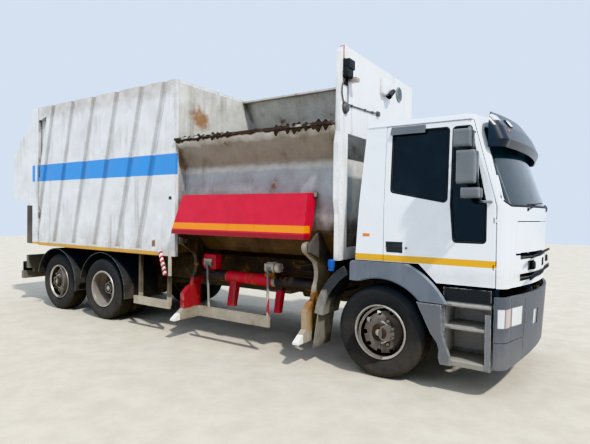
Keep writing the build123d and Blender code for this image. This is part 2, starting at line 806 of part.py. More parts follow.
def mirror():
    """Three housings on a bent tube, fixed to the right door's front edge."""
    low = mirror_tube_low
    high = mirror_tube_high
    y = -mirror_tube_y
    tube = rod_between((low[0], y, low[1]), (high[0], y, high[1]), mirror_tube_radius)
    for x, z in (low, high):
        tube += Pos(x, y, z) * Sphere(mirror_knuckle_radius)
    seat = (mirror_low_seat_x, -cab_sections[0][4] + 4, low[1])
    tube += rod_between((low[0], y, low[1]), seat, mirror_tube_radius)
    tube -= cab_volume(0)
    tube += rod_y(mirror_tube_radius - 4, high[0], y, -mirror_top_seat_y, high[1])
    for z_low, z_high, depth in mirror_housings:
        middle = (z_low + z_high) / 2
        x = low[0] + (high[0] - low[0]) * (middle - low[1]) / (high[1] - low[1])
        housing = box(x - depth, x + 16, y - 105, y + 85, z_low, z_high)
        housing = fillet(housing.edges().filter_by(Axis.X), 30)
        tube += fillet(housing.faces().sort_by(Axis.X)[-1].edges(), 14)
    return tube


def arch(centre_x, radius, thickness, start, end, y_low, y_high):
    """A ring sector round a wheel's centre, between two angles from straight ahead."""
    z = tyre_radius
    points = []
    for r, first, last in ((radius, start, end), (radius + thickness, end, start)):
        middle = (first + last) / 2
        points.append([(centre_x + r * math.cos(math.radians(a)), y_low, z + r * math.sin(math.radians(a)))
                       for a in (first, middle, last)])
    inner = ThreePointArc(*points[0])
    outer = ThreePointArc(*points[1])
    outline = inner + Line(points[0][2], points[1][0]) + outer + Line(points[1][2], points[0][0])
    return extrude(make_face(outline), amount=y_high - y_low, dir=(0, 1, 0))


def fender_skin(centre_x, radius, outer_radius, start, end):
    """A wheel arch's broad face on the right side, with its outer rim chamfered."""
    skin = arch(centre_x, radius, outer_radius - radius, start, end, -fender_outer_y, -fender_outer_y + 27)
    rim_edges = skin.edges().filter_by(GeomType.CIRCLE).group_by(Axis.Y)[0]
    return chamfer(rim_edges, 18)


def cab_mudguards():
    width = front_arch_outer - front_arch_radius
    liner = arch(front_arch_x, front_arch_radius, mudguard_thickness, 40, 126, -fender_outer_y + 20, -760)
    skin = fender_skin(front_arch_x, front_arch_radius, front_arch_radius + width, 25, 126)
    zone = box(-440, 700, -1300, -700, fender_split_z + 5, cab_floor_z - 8)
    zone -= box(-600, -100, -1300, -700, 0, tyre_radius + front_arch_radius - 40)
    stay_x = front_arch_x
    stay = box(stay_x - 40, stay_x + 40, -1100, -1060, tyre_radius + front_arch_radius, cab_floor_z)
    return both_sides((liner & zone) + (skin & zone) + stay)


def front_mudguards():
    """The fixed guard behind the front wheel with its hanging flap."""
    x = front_arch_x
    outer = rear_flap_radius + 110
    liner = arch(x, rear_flap_radius, mudguard_thickness, 122, 172, -1185, -800)
    skin = arch(x, rear_flap_radius, outer - rear_flap_radius, 122, 172, -1205, -1175)
    zone = box(-1100, -452, -1300, -700, 560, cab_floor_z - 30)
    flap = side_prism([(rear_flap_x, 680), (rear_flap_x - 70, 200), (rear_flap_x - 84, 200),
                       (rear_flap_x - 14, 680)], -1200, -800)
    stay_reach = rear_flap_radius + mudguard_thickness + 8
    stay_angle = math.radians(152)
    stay = rod_y(20, x + stay_reach * math.cos(stay_angle), -860, -rail_outer_y,
                 tyre_radius + stay_reach * math.sin(stay_angle))
    link = box(rear_flap_x - 16, rear_flap_x + 50, -1185, -800, 640, 660)
    return both_sides((liner & zone) + (skin & zone) + flap + link + stay)


def step_tread(z, thickness):
    """One tread with its outer nose broken."""
    nose = 10
    outer = -step_outer_y
    return front_prism([(outer + nose, z), (-step_inner_y, z), (-step_inner_y, z - thickness),
                        (outer + nose, z - thickness), (outer, z - thickness + nose), (outer, z - nose)],
                       step_rear_x, step_front_x)


def chevron_ribs(z_low, z_high):
    """V-shaped ribs on the wall behind a tread."""
    zone = box(step_rear_x + 20, step_front_x - 150, -step_inner_y - rib_depth, -step_inner_y, z_low, z_high)
    vertex_x = step_rear_x + 75
    ribs = None
    z = z_low - 4 * rib_pitch
    while z < z_high:
        rib = side_prism([(vertex_x - 75, z + 60), (vertex_x, z), (vertex_x + 260, z + 104),
                          (vertex_x + 260, z + 104 + rib_height), (vertex_x, z + rib_height),
                          (vertex_x - 75, z + 60 + rib_height)],
                         -step_inner_y - rib_depth, -step_inner_y + 1)
        ribs = rib if ribs is None else ribs + rib
        z += rib_pitch
    return ribs & zone


def lower_fender():
    """The fixed foot of the front wheel arch, beside the steps."""
    outline = list(fender_inner_edge) + list(fender_outer_edge)
    plate = side_prism(outline, -fender_outer_y, -fender_outer_y + 32)
    plate = chamfer(plate.edges().filter_by(Axis.Y, reverse=True).group_by(Axis.Y)[0], 8)
    inner = [(x + mudguard_thickness, z) for x, z in reversed(fender_inner_edge)]
    return plate + side_prism(list(fender_inner_edge) + inner, -fender_outer_y + 30, -step_inner_y)


def boarding_steps():
    low = step_heights[-1] - 60
    inner = -step_inner_y
    well = box(step_rear_x, step_front_x, inner, inner + 20, 300, 1050)
    well += box(step_rear_x - 18, step_rear_x + 20, -step_outer_y, inner, low, fender_split_z - 5)
    well += box(step_front_x - 20, step_front_x, -step_outer_y + 25, inner, low, 1050)
    post_x = step_front_x - step_post_width
    well += box(post_x, step_front_x, -step_outer_y, -step_outer_y + 25, low, step_post_top)
    for z, thickness in zip(step_heights, (step_thickness, step_thickness, 64)):
        well += step_tread(z, thickness)
    well += box(step_rear_x, step_front_x, -step_outer_y + 12, -step_outer_y + 22, step_heights[0] - 5, 1075)
    for upper, lower in zip(step_heights, step_heights[1:]):
        well += chevron_ribs(lower, upper - step_thickness)
    stay = box(700, 780, inner + 20, -rail_outer_y, 800, 880)
    stay += box(900, 980, inner + 20, -rail_outer_y, 800, 880)
    return both_sides(well + lower_fender() + stay)


def bumper_pieces():
    outer = lofted(bumper_sections, 0)
    keep = box(1085, 2000, -1400, 1400, 0, 2000)
    skin = (outer - lofted(bumper_sections, bumper_wall)) & keep
    lamp_zone = box(1120, 2000, -1400, -headlamp_inner_y, headlamp_bottom, headlamp_top)
    fog_zone = box(1120, 2000, -fog_lamp_y[1], -fog_lamp_y[0], *fog_lamp_z)
    lamp_layer = (lofted(bumper_sections, 4) - lofted(bumper_sections, bumper_wall)) & keep
    fog_layer = (lofted(bumper_sections, 14) - lofted(bumper_sections, bumper_wall)) & keep
    lamps = both_sides((lamp_layer & lamp_zone) + (fog_layer & fog_zone))
    skin -= both_sides(lamp_zone)
    skin -= both_sides(fog_zone)
    half = bumper_groove_width / 2
    groove_zone = box(1080, 2000, -1400, -bumper_groove_y, bumper_groove_z - half, bumper_groove_z + half)
    groove_zone += box(1080, 2000, -bumper_groove_y - half, -bumper_groove_y + half, 300, headlamp_top + 70)
    skin -= (outer - lofted(bumper_sections, 8)) & both_sides(groove_zone)
    skin -= side_prism(bumper_chin, -1400, 1400)
    for side in (-1, 1):
        y = side * (rail_outer_y - rail_flange / 2)
        skin += box(frame_front_x, 1345, y - 35, y + 35, fog_lamp_z[1] + 12, rail_bottom + 200)
    return skin, lamps


def groove(top_x):
    """One slanted channel pressed into the right side."""
    half = groove_width / 2
    z_low = body_bottom + 90
    z_high = body_top + 10
    low_x = top_x - groove_lean * (body_top - z_low)
    high_x = top_x + groove_lean * (z_high - body_top)
    face_low = Polyline([(low_x - half, -body_half_width - 1, z_low), (low_x + half, -body_half_width - 1, z_low),
                         (low_x + half - 25, -body_half_width + groove_depth, z_low),
                         (low_x - half + 25, -body_half_width + groove_depth, z_low)], close=True)
    return extrude(make_face(face_low), amount=math.dist((low_x, z_low), (high_x, z_high)),
                   dir=(high_x - low_x, 0, z_high - z_low))


def body_side():
    wall = box(body_rear_x, body_front_x, -body_half_width, -body_half_width + body_wall, body_bottom, body_top)
    for top_x in groove_tops_x:
        wall -= groove(top_x)
    slot = side_prism([(body_rear_x - 1, slot_bottom_z), (body_rear_x - 1, slot_top_z - 60),
                       (body_rear_x + slot_depth_x, slot_top_z)], -1300, -1000)
    return wall - slot


def body_roof():
    """The roof sheet with the lugs and pins of the tailgate's hinge."""
    half = body_half_width - body_wall
    roof = box(body_rear_x, body_front_x, -half, half, body_top - body_sheet, body_top)
    reach = hinge_arm_width / 2 + moving_clearance
    for y in (-hinge_arm_y, hinge_arm_y):
        for low, high in ((y - reach - 30, y - reach), (y + reach, y + reach + 30)):
            roof += box(tailgate_hinge_x - 60, tailgate_hinge_x + 60, low, high, body_top, tailgate_hinge_z + 30)
        roof += rod_y(hinge_pin_radius, tailgate_hinge_x, y - reach - 30, y + reach + 30, tailgate_hinge_z)
    return roof


def body_floor():
    half = body_half_width - body_wall
    floor = box(body_rear_x, body_front_x, -half, half, body_bottom, body_bottom + floor_thickness)
    for side in (-1, 1):
        y = side * (rail_outer_y - rail_flange / 2)
        floor += box(frame_rear_x + 200, hopper_front_x + 60, y - sole_bar_width / 2, y + sole_bar_width / 2,
                     rail_top, body_bottom)
    return floor


def body_bulkhead():
    half = body_half_width - body_wall
    wall = box(body_front_x - body_sheet, body_front_x, -half, half, body_bottom + floor_thickness,
               body_top - body_sheet)
    low = hopper_floor_z + hopper_wall
    wall -= box(body_front_x - 200, body_front_x + 200, hopper_near_y + 70, bulkhead_opening_half_width,
                low, low + bulkhead_opening_height)
    return wall


def body_rear_frame():
    half = body_half_width - body_wall
    bottom = body_bottom + floor_thickness
    ring = box(body_rear_x, body_rear_x + rear_post_width, -half, half, bottom, body_top - body_sheet)
    ring -= box(body_rear_x - 1, body_rear_x + rear_post_width + 1, -half + rear_post_width,
                half - rear_post_width, bottom + 40, body_top - body_sheet - 90)
    return ring


def tailgate_outline(inset):
    return [
        (tailgate_front_x, body_top - inset), (tailgate_top_x + inset, body_top - inset),
        (tailgate_top_x + inset, tailgate_shoulder_z - inset / 2),
        (tailgate_belly_x + inset, tailgate_belly_top_z - inset / 2),
        (tailgate_belly_x + inset, tailgate_belly_bottom_z + inset),
        (tailgate_foot_x + inset, tailgate_foot_z + inset), (tailgate_foot_x + inset, tailgate_bottom + inset),
        (tailgate_front_x, tailgate_bottom + inset),
    ]


def tailgate():
    half = body_half_width
    gate = side_prism(tailgate_outline(0), -half, half)
    hollow = side_prism(tailgate_outline(tailgate_wall), -half + tailgate_wall, half - tailgate_wall)
    front_slice = box(tailgate_front_x - 1, tailgate_front_x + 1, -half + tailgate_wall, half - tailgate_wall,
                      tailgate_bottom + tailgate_wall, body_top - tailgate_wall)
    gate -= hollow
    gate -= front_slice
    for y in (-hinge_arm_y, hinge_arm_y):
        high = tailgate_hinge_z + hinge_arm_radius
        low = tailgate_hinge_z - hinge_arm_radius
        arm = side_prism([(tailgate_hinge_x, high), (tailgate_hinge_x, low),
                          (tailgate_front_x + 20, low), (tailgate_front_x - 10, body_top - 5),
                          (tailgate_top_x + 40, body_top - 5), (tailgate_top_x + 60, body_top + 15),
                          (tailgate_front_x + 200, high)],
                         y - hinge_arm_width / 2, y + hinge_arm_width / 2)
        arm += rod_y(hinge_arm_radius, tailgate_hinge_x, y - hinge_arm_width / 2, y + hinge_arm_width / 2,
                     tailgate_hinge_z)
        arm -= rod_y(hinge_pin_radius + pin_clearance, tailgate_hinge_x, y - 100, y + 100, tailgate_hinge_z)
        gate += arm
    return gate


def hopper_tub():
    t = hopper_wall
    near = hopper_near_y
    outline = [
        (chute_lip_y, chute_top_z), (near, chute_knee_z), (near, hopper_knee_z), (hopper_toe_y, hopper_floor_z),
        (hopper_far_y, hopper_floor_z), (hopper_far_y, hopper_floor_z + t),
        (hopper_toe_y + 12, hopper_floor_z + t),
        (near + t, hopper_knee_z + 12), (near + t, chute_knee_z - 8), (chute_lip_y + 5, chute_top_z + t),
        (chute_lip_y - 20, chute_top_z + t), (chute_lip_y - 20, chute_top_z),
    ]
    tub = front_prism(outline, body_front_x, hopper_front_x)
    end = front_prism([(near + t / 2, chute_knee_z - 15), (near + t / 2, hopper_knee_z),
                       (hopper_toe_y, hopper_floor_z + t / 2), (hopper_far_y - t, hopper_floor_z + t / 2),
                       (hopper_far_y - t, deflector_knee_z - 15)], hopper_front_x - t, hopper_front_x)
    tub += end
    for flap_end, away, gap in ((flap_front_x, 1, moving_clearance), (flap_rear_x, -1, 4 * moving_clearance)):
        lug_in = flap_end + away * gap
        lug_out = lug_in + away * 16
        pin_in = flap_end - away * 45
        tub += box(min(lug_in, lug_out), max(lug_in, lug_out), flap_hinge_y - 22, near,
                   flap_top_z - 25, flap_top_z + 25)
        tub += rod_x(flap_pin_radius, min(pin_in, lug_out), max(pin_in, lug_out), flap_hinge_y, flap_top_z)
    return tub


def hopper_far_wall():
    t = hopper_wall
    y = hopper_far_y
    low = hopper_floor_z + t
    top_y = deflector_top_y
    outline = [
        (y, low), (y, deflector_knee_z), (top_y + t, deflector_top_z), (top_y - deflector_lip, deflector_top_z),
        (top_y - deflector_lip, deflector_top_z - t), (top_y, deflector_top_z - t),
        (y - t, deflector_knee_z - 15), (y - t, low),
    ]
    return front_prism(outline, body_front_x, hopper_front_x)


def front_plate():
    half = plate_half_width
    x_low = hopper_front_x
    x_high = hopper_front_x + plate_thickness
    plate = front_prism([(-half, plate_bottom), (half - 60, plate_bottom), (half - 60, plate_top),
                         (-half + column_chamfer, plate_top), (-half, plate_top - column_chamfer)],
                        x_low, x_high)
    column = front_prism([(-half, plate_bottom), (-half - 35, 2620), (-half - 35, 1960), (-half, 1800),
                          (-half, column_bottom), (-half + column_width, column_bottom),
                          (-half + column_width, plate_bottom)], x_low, x_high)
    plate += column
    plate += front_prism([(half - 60, plate_bottom), (half - 60, column_bottom),
                          (half - column_width, column_bottom), (half - column_width, plate_bottom)],
                         x_low, x_high)
    plate += box(x_low, x_high, -half + column_width, half - column_width, column_bottom, hopper_floor_z + 150)
    return plate


def loading_flap():
    """A hood over the lifter's hinges: a top sheet, a leaning face with a lip, and two end cheeks."""
    t = flap_thickness
    rim_z = flap_top_z + t / 2
    knee_z = flap_bottom_z + 70
    face = [
        (flap_hinge_y, rim_z), (flap_top_y, rim_z), (flap_foot_y, knee_z), (flap_foot_y, flap_bottom_z),
        (flap_foot_y + t, flap_bottom_z), (flap_foot_y + t, knee_z), (flap_top_y + t, rim_z - t),
        (flap_hinge_y, rim_z - t),
    ]
    panel = front_prism(face, flap_rear_foot_x, flap_front_x)
    cheek = [
        (flap_hinge_y, rim_z - 4), (flap_top_y + 4, rim_z - 4), (flap_foot_y + 4, knee_z),
        (flap_foot_y + 4, flap_bottom_z + 2), (flap_cheek_foot_y, flap_bottom_z + 2),
        (flap_hinge_y - 30, 1640), (flap_hinge_y + 20, 1900), (flap_hinge_y + 20, flap_top_z - 40),
    ]
    panel += front_prism(cheek, flap_front_x - t, flap_front_x)
    rear_cut = side_prism([(flap_rear_foot_x - 1, flap_bottom_z - 1), (flap_rear_foot_x, flap_bottom_z),
                           (flap_rear_x, rim_z), (flap_rear_x, rim_z + 50), (flap_rear_foot_x - 1, rim_z + 50)],
                          -1500, -900)
    rear_cheek = front_prism(cheek, flap_rear_foot_x, flap_front_x)
    rear_cheek &= side_prism([(flap_rear_foot_x, flap_bottom_z), (flap_rear_x, rim_z), (flap_rear_x + t, rim_z),
                              (flap_rear_foot_x + t, flap_bottom_z)], -1500, -900)
    barrel = rod_x(flap_pin_radius + 12, flap_rear_x, flap_front_x, flap_hinge_y, flap_top_z)
    bore = rod_x(flap_pin_radius + pin_clearance, flap_rear_foot_x, flap_front_x + 1, flap_hinge_y, flap_top_z)
    return (((panel - rear_cut) + rear_cheek) + barrel) - bore


def lift_base():
    """Consoles that carry the lifter's pivots, and the pin line of the loading flap."""
    base = None
    for arm_x, away in ((lift_front_x, 1), (lift_rear_x, -1)):
        inner = arm_x + away * (lift_arm_thickness / 2 + moving_clearance)
        outer = inner + away * 34
        low_x, high_x = min(inner, outer), max(inner, outer)
        sole_y = -rail_outer_y + rail_flange / 2 - sole_bar_width / 2
        console = front_prism([(lift_pivot_y - 40, lift_pivot_z - 50), (lift_pivot_y - 40, lift_pivot_z + 50),
                               (lift_pivot_y + 20, lift_pivot_z + 70), (hopper_near_y, lift_pivot_z + 200),
                               (hopper_near_y, hopper_knee_z), (hopper_toe_y, hopper_floor_z),
                               (sole_y, hopper_floor_z), (sole_y, rail_top + 40),
                               (lift_pivot_y + 60, lift_pivot_z - 80)], low_x, high_x)
        pin_low = arm_x - lift_arm_thickness / 2
        pin_high = arm_x + lift_arm_thickness / 2
        pin = rod_x(lift_pin_radius, min(pin_low, low_x), max(pin_high, high_x), lift_pivot_y, lift_pivot_z)
        piece = console + pin
        base = piece if base is None else base + piece
    return base


def at_x(x, points):
    return [(x, y, z) for y, z in points]


def arm_plate(x):
    """One boomerang arm: from its pivot in to the elbow below the hopper, then out to the fork."""
    low = x - lift_arm_thickness / 2
    high = x + lift_arm_thickness / 2
    eye_y = lift_pivot_y + lift_eye_radius * 0.5
    eye_z = lift_pivot_z + lift_eye_radius * 0.86
    hollow_y = elbow_y - elbow_width
    elbow_top = (elbow_y - 75, elbow_z + 145)
    elbow_low = (elbow_y - 65, elbow_z - 155)
    hollow_low = (hollow_y - 50, elbow_z - 150)
    hollow_top = (hollow_y - 60, elbow_z + 150)
    eye_low = (lift_pivot_y - lift_eye_radius * 0.6, lift_pivot_z - lift_eye_radius * 0.8)
    elbow = ThreePointArc(*at_x(low, [elbow_top, (elbow_y, elbow_z), elbow_low]))
    hollow = ThreePointArc(*at_x(low, [hollow_low, (hollow_y, elbow_z + 10), hollow_top]))
    top = Line(*at_x(low, [(eye_y, eye_z), elbow_top]))
    foot = Polyline(at_x(low, [elbow_low, (fork_inner_y - 60, fork_top_z - 120),
                               (fork_inner_y - 180, fork_top_z - 120), hollow_low]))
    back = Polyline(at_x(low, [hollow_top, eye_low, (eye_y, eye_z)]))
    plate = extrude(make_face(top + elbow + foot + hollow + back), amount=high - low, dir=(1, 0, 0))
    plate += rod_x(lift_eye_radius, low, high, lift_pivot_y, lift_pivot_z)
    plate -= rod_x(lift_pin_radius + pin_clearance, low - 1, high + 1, lift_pivot_y, lift_pivot_z)
    return plate


def fork(x):
    """The broad shoe below an arm, with its blade reaching outward."""
    low = x - lift_arm_thickness / 2 - 10
    high = x + lift_arm_thickness / 2 + 10
    outline = [
        (fork_inner_y, fork_top_z - 60), (fork_inner_y - 80, fork_top_z), (fork_outer_y + 90, fork_top_z - 60),
        (fork_outer_y, fork_top_z - 140), (fork_outer_y, fork_bottom_z + 150), (fork_tip_y, fork_bottom_z + 24),
        (fork_tip_y, fork_bottom_z), (fork_inner_y, fork_bottom_z),
    ]
    return front_prism(outline, low, high)


def lift_arms():
    arms = rod_x(torque_tube_radius, lift_rear_x, lift_front_x, torque_tube_y, torque_tube_z)
    for x in (lift_front_x, lift_rear_x):
        arms += arm_plate(x)
        arms += fork(x)
    bar_low = push_bar_z - push_bar_height / 2
    bar_high = push_bar_z + push_bar_height / 2
    head_y = torque_tube_y - 100
    head_z = torque_tube_z + 215
    for top_x, foot_x in strut_places:
        arms += rod_between((top_x, head_y, head_z), (foot_x, push_bar_y, bar_high - 20), strut_radius)
        head = [
            (head_y - 30, head_z + 25), (head_y + 150, head_z + 25), (torque_tube_y + 60, torque_tube_z + 20),
            (torque_tube_y - 40, torque_tube_z + 20), (head_y - 30, head_z - 60),
        ]
        arms += front_prism(head, top_x - 40, top_x + 110)
    for top_x, foot_x in leg_places:
        leg = [
            (torque_tube_y - 60, torque_tube_z - 40), (torque_tube_y + 30, torque_tube_z - 60),
            (torque_tube_y - 55, leg_foot_z), (torque_tube_y - 125, leg_foot_z),
        ]
        arms += front_prism(leg, top_x - 25, foot_x + 25)
    arms += box(push_bar_rear_x, push_bar_front_x, push_bar_y - 20, push_bar_y + 20, bar_low, bar_high)
    return arms


def packer_plate():
    low = hopper_floor_z + hopper_wall + seat_clearance
    right = hopper_toe_y + packer_side_gap + 12
    left = hopper_far_y - hopper_wall - packer_side_gap
    rear = packer_front_x - packer_depth
    plate = box(rear, rear + packer_sheet, right, left, low, low + packer_height)
    plate += box(rear, packer_front_x, right, left, low + packer_height - packer_sheet, low + packer_height)
    for y in (right, left - guide_width):
        plate += box(rear, packer_front_x, y, y + guide_width, low, low + guide_height)
        plate += side_prism([(rear, low), (packer_front_x - 60, low), (rear, low + packer_height)], y, y + 30)
    return plate


def side_guards():
    right = box(-4190, -3390, -1240, -1200, 370, 490)
    for x in (-4100, -3450):
        right += box(x - 25, x + 25, -1200, -1150, 400, body_bottom)
    right += side_prism([(-3600, 1150), (-3540, 1150), (-3415, 860), (-3475, 860)], -1240, -1210)
    right += box(-3600, -3475, -1210, -1150, 1090, body_bottom)
    left = box(-4190, -2300, 1200, 1240, 400, 520) + box(-4190, -2300, 1200, 1240, 760, 880)
    for x in (-4100, -3200, -2400):
        left += box(x - 25, x + 25, 1150, 1200, 400, body_bottom)
    left += box(-4125, -2375, 1150, 1200, body_bottom - 60, body_bottom)
    return right + left


def rear_mudguards():
    guard = None
    for x in (drive_axle_x, tag_axle_x):
        piece = arch(x, rear_guard_radius, mudguard_thickness, 0, 168, -1245, -rear_guard_inner_y)
        piece &= box(x - 700, x + 700, -1300, 0, 0, body_bottom - 6)
        piece += box(x + rear_guard_radius, x + rear_guard_radius + mudguard_thickness, -1245,
                     -rear_guard_inner_y, rear_guard_bottom, tyre_radius + 1)
        stay = box(x - 30, x + 30, -rear_guard_inner_y, -rail_outer_y, rail_top - 120, rail_top - 80)
        stay += box(x - 30, x + 30, -rear_guard_inner_y, -rear_guard_inner_y + 30, rail_top - 120,
                    tyre_radius + rear_guard_radius + mudguard_thickness)
        piece += stay
        guard = piece if guard is None else guard + piece
    return both_sides(guard)


def rear_underrun():
    bar = box(-7790, -7690, -1150, 1150, 450, 600)
    for side in (-1, 1):
        y = side * (rail_outer_y - rail_flange / 2)
        bar += box(-7690, frame_rear_x, y - 50, y + 50, 500, 600)
        bar += box(-7560, frame_rear_x, y - 50, y + 50, 500, 950)
        lamp_y = side * 950
        bar += box(-7640, -7560, lamp_y - 180, lamp_y + 180, 660, 920)
        bar += box(-7700, -7600, lamp_y - 40, lamp_y + 40, 560, 700)
    return bar


def main():
    os.makedirs("parts", exist_ok=True)
    save("frame_rails", frame_rails())
    save("front_axle", front_axle())
    save("drive_axle", drive_axle())
    save("tag_axle", tag_axle())
    save("powertrain", powertrain())
    save("tanks", tanks())
    bumper, lamps = bumper_pieces()
    save("front_bumper", bumper)
    save("headlamps", lamps)
    save("boarding_steps", boarding_steps())
    save("front_mudguards", front_mudguards())
    save("rear_mudguards", rear_mudguards())
    save("side_guards", side_guards())
    save("rear_underrun", rear_underrun())

    save("body_side_right", body_side())
    save("body_side_left", left_of(body_side()))
    save("body_roof", body_roof())
    save("body_floor", body_floor())
    save("body_bulkhead", body_bulkhead())
    save("body_rear_frame", body_rear_frame())
    save("tailgate", tailgate())
    save("front_plate", front_plate())
    save("hopper_tub", hopper_tub())
    save("hopper_far_wall", hopper_far_wall())
    save("loading_flap", loading_flap())
    save("lift_base", lift_base())
    save("lift_arms", lift_arms())
    save("packer_plate", packer_plate())

    roof, front, rear, door, door_glass, windscreen, lid = cab_pieces()
    save("cab_floor", cab_floor())
    save("cab_shell", rear)
    save("cab_roof", roof)
    save("cab_front", front)
    save("cab_lid", lid)
    save("windscreen", windscreen)
    save("door_right", door)
    save("door_left", left_of(door))
    save("door_glass_right", door_glass)
    save("door_glass_left", left_of(door_glass))
    save("mirror_right", mirror())
    save("mirror_left", left_of(mirror()))
    save("sun_visor", sun_visor())
    save("seats", seats())
    save("dashboard", dashboard())
    save("cab_mudguards", cab_mudguards())

    steered_wheels = (
        ("front_right", front_kingpin_x, -1, front_steer_angle),
        ("front_left", front_kingpin_x, 1, front_steer_angle),
        ("tag_right", tag_axle_x, -1, tag_steer_angle),
        ("tag_left", tag_axle_x, 1, tag_steer_angle),
    )
    for place, axle_x, side, angle in steered_wheels:
        save(f"knuckle_{place}", steered(knuckle(), axle_x, side, angle))
        save(f"rim_{place}", steered(single_rim(), axle_x, side, angle, kingpin_offset))
        save(f"tyre_{place}", steered(tyre(), axle_x, side, angle, kingpin_offset))
    for place, side in (("right", -1), ("left", 1)):
        turn = 0 if side > 0 else 180
        seat = Pos(drive_axle_x, side * twin_wheel_y, tyre_radius) * Rot(0, 0, turn)
        save(f"rims_drive_{place}", seat * twin_rims())
        save(f"tyres_drive_{place}", seat * twin_tyres())


main()
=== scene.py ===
import bpy
import math
from mathutils import Matrix, Vector


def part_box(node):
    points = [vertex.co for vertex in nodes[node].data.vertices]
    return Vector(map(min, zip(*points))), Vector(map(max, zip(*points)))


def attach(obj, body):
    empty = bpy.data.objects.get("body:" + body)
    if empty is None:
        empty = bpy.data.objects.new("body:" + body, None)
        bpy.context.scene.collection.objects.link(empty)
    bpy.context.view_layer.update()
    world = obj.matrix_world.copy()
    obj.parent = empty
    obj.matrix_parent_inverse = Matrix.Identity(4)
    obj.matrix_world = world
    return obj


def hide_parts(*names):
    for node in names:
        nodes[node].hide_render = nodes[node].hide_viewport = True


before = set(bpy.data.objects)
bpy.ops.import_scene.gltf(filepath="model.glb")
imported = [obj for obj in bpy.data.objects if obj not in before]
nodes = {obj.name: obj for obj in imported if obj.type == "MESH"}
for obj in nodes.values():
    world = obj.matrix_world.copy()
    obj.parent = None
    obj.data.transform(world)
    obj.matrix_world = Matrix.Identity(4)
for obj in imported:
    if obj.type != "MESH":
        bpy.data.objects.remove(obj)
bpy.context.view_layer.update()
print("frame loaded:", len(nodes), "nodes")

originShift = 3.2525  # places along X below are measured from a line just ahead of the front axle

cameraView = {
    "place": (5.238, -5.998, 1.787),
    "yaw": 33.594,
    "pitch": -0.915,
    "roll": 0.725,
    "focalPixels": 472.634,
    "imageWidth": 590,
    "sensor": 36.0,
    "farEnd": 200,
}
lightSettings = {
    "sunTravel": (-0.571, 0.271, -0.776),
    "sunPower": 3.0,
    "sunAngle": 2.5,
    "skyColour": (0.73, 0.84, 1.0),
    "skyPower": 1.02,
    "sunColour": (1.0, 0.965, 0.91),
    "viewTransform": "Khronos PBR Neutral",
    "gamma": 1.12,
}


def place(point):
    return Vector((point[0] + originShift, point[1], point[2]))


def makeCamera(view):
    yaw, pitch, roll = (math.radians(view[k]) for k in ("yaw", "pitch", "roll"))
    forward = Vector((-math.sin(yaw) * math.cos(pitch), math.cos(yaw) * math.cos(pitch), math.sin(pitch)))
    right = Vector((math.cos(yaw), math.sin(yaw), 0))
    up = right.cross(forward)
    turnedRight = right * math.cos(roll) + up * math.sin(roll)
    turnedUp = -right * math.sin(roll) + up * math.cos(roll)
    data = bpy.data.cameras.new("photoCamera")
    data.sensor_width = view["sensor"]
    data.lens = view["focalPixels"] * view["sensor"] / view["imageWidth"]
    data.clip_end = view["farEnd"]
    camera = bpy.data.objects.new("photoCamera", data)
    bpy.context.scene.collection.objects.link(camera)
    axes = Matrix((turnedRight, turnedUp, -forward)).transposed().to_4x4()
    camera.matrix_world = Matrix.Translation(Vector(view["place"])) @ axes
    bpy.context.scene.camera = camera


def makeLight(light):
    data = bpy.data.lights.new("sun", "SUN")
    data.energy = light["sunPower"]
    data.angle = math.radians(light["sunAngle"])
    data.color = light["sunColour"]
    lamp = bpy.data.objects.new("sun", data)
    lamp.rotation_euler = Vector(light["sunTravel"]).to_track_quat("-Z", "Y").to_euler()
    bpy.context.scene.collection.objects.link(lamp)
    world = bpy.data.worlds.new("sky")
    world.use_nodes = True
    background = world.node_tree.nodes["Background"]
    background.inputs["Color"].default_value = (*light["skyColour"], 1)
    background.inputs["Strength"].default_value = light["skyPower"]
    bpy.context.scene.view_settings.view_transform = light["viewTransform"]
    bpy.context.scene.view_settings.gamma = light["gamma"]
    bpy.context.scene.world = world


makeCamera(cameraView)
makeLight(lightSettings)
print("camera and light placed")


# materials
noises = {  # scale, detail, roughness
    "broken": (1.3, 5), "blotches": (3.1, 9, 0.66), "grain": (160, 3), "dents": (1.7, 1.5, 0.4),
    "chips": (22, 6, 0.7), "rust": (14, 8, 0.7), "smear": (3.5, 7), "worn": (6, 6), "scratched": (24, 6),
}
ramps = {  # the value that gives 0 and the value that gives 1
    "streaks": (0.46, 0.74), "broken": (0.36, 0.66), "turned": (0.985, 0.8), "chips": (0.42, 0.58),
    "corners": (0.85, 0.25), "second": (0.3, 0.7), "steep": (0.1, 0.6), "flat": (0.55, 0.95),
    "settled": (0.3, 0.6), "dirt": (0.25, 0.6), "dust": (0.25, 0.65), "rustTone": (0.35, 0.65),
    "smear": (0.45, 0.75), "worn": (0.35, 0.7), "scratched": (0.52, 0.66), "stripe": (0.48, 0.52),
}
roughening = {"grain": 0.18, "streaks": 0.2, "wear": 0.25, "rust": 0.3, "dust": 0.3}
rustSpread = ((0.72, 0.3), (0.78, 0.28))
rustMix = (0.7, 0.3)
rustDepth = -0.02
streakStretch = (1, 1, 0.07)
streakNoise = (8, 0.62)


def tone(code):
    # the linear colour of an sRGB code
    values = [int(code[i:i + 2], 16) / 255 for i in (0, 2, 4)]
    return tuple(v / 12.92 if v <= 0.04045 else ((v + 0.055) / 1.055) ** 2.4 for v in values) + (1,)


def feed(tree, sockets, items):
    # joins a socket to another, or sets its value
    for key, item in items.items():
        if isinstance(item, bpy.types.NodeSocket):
            tree.links.new(item, sockets[key])
        else:
            sockets[key].default_value = item


def addNode(tree, kind, inputs=None, **settings):
    made = tree.nodes.new(kind)
    for key, value in settings.items():
        setattr(made, key, value)
    feed(tree, made.inputs, inputs or {})
    return made


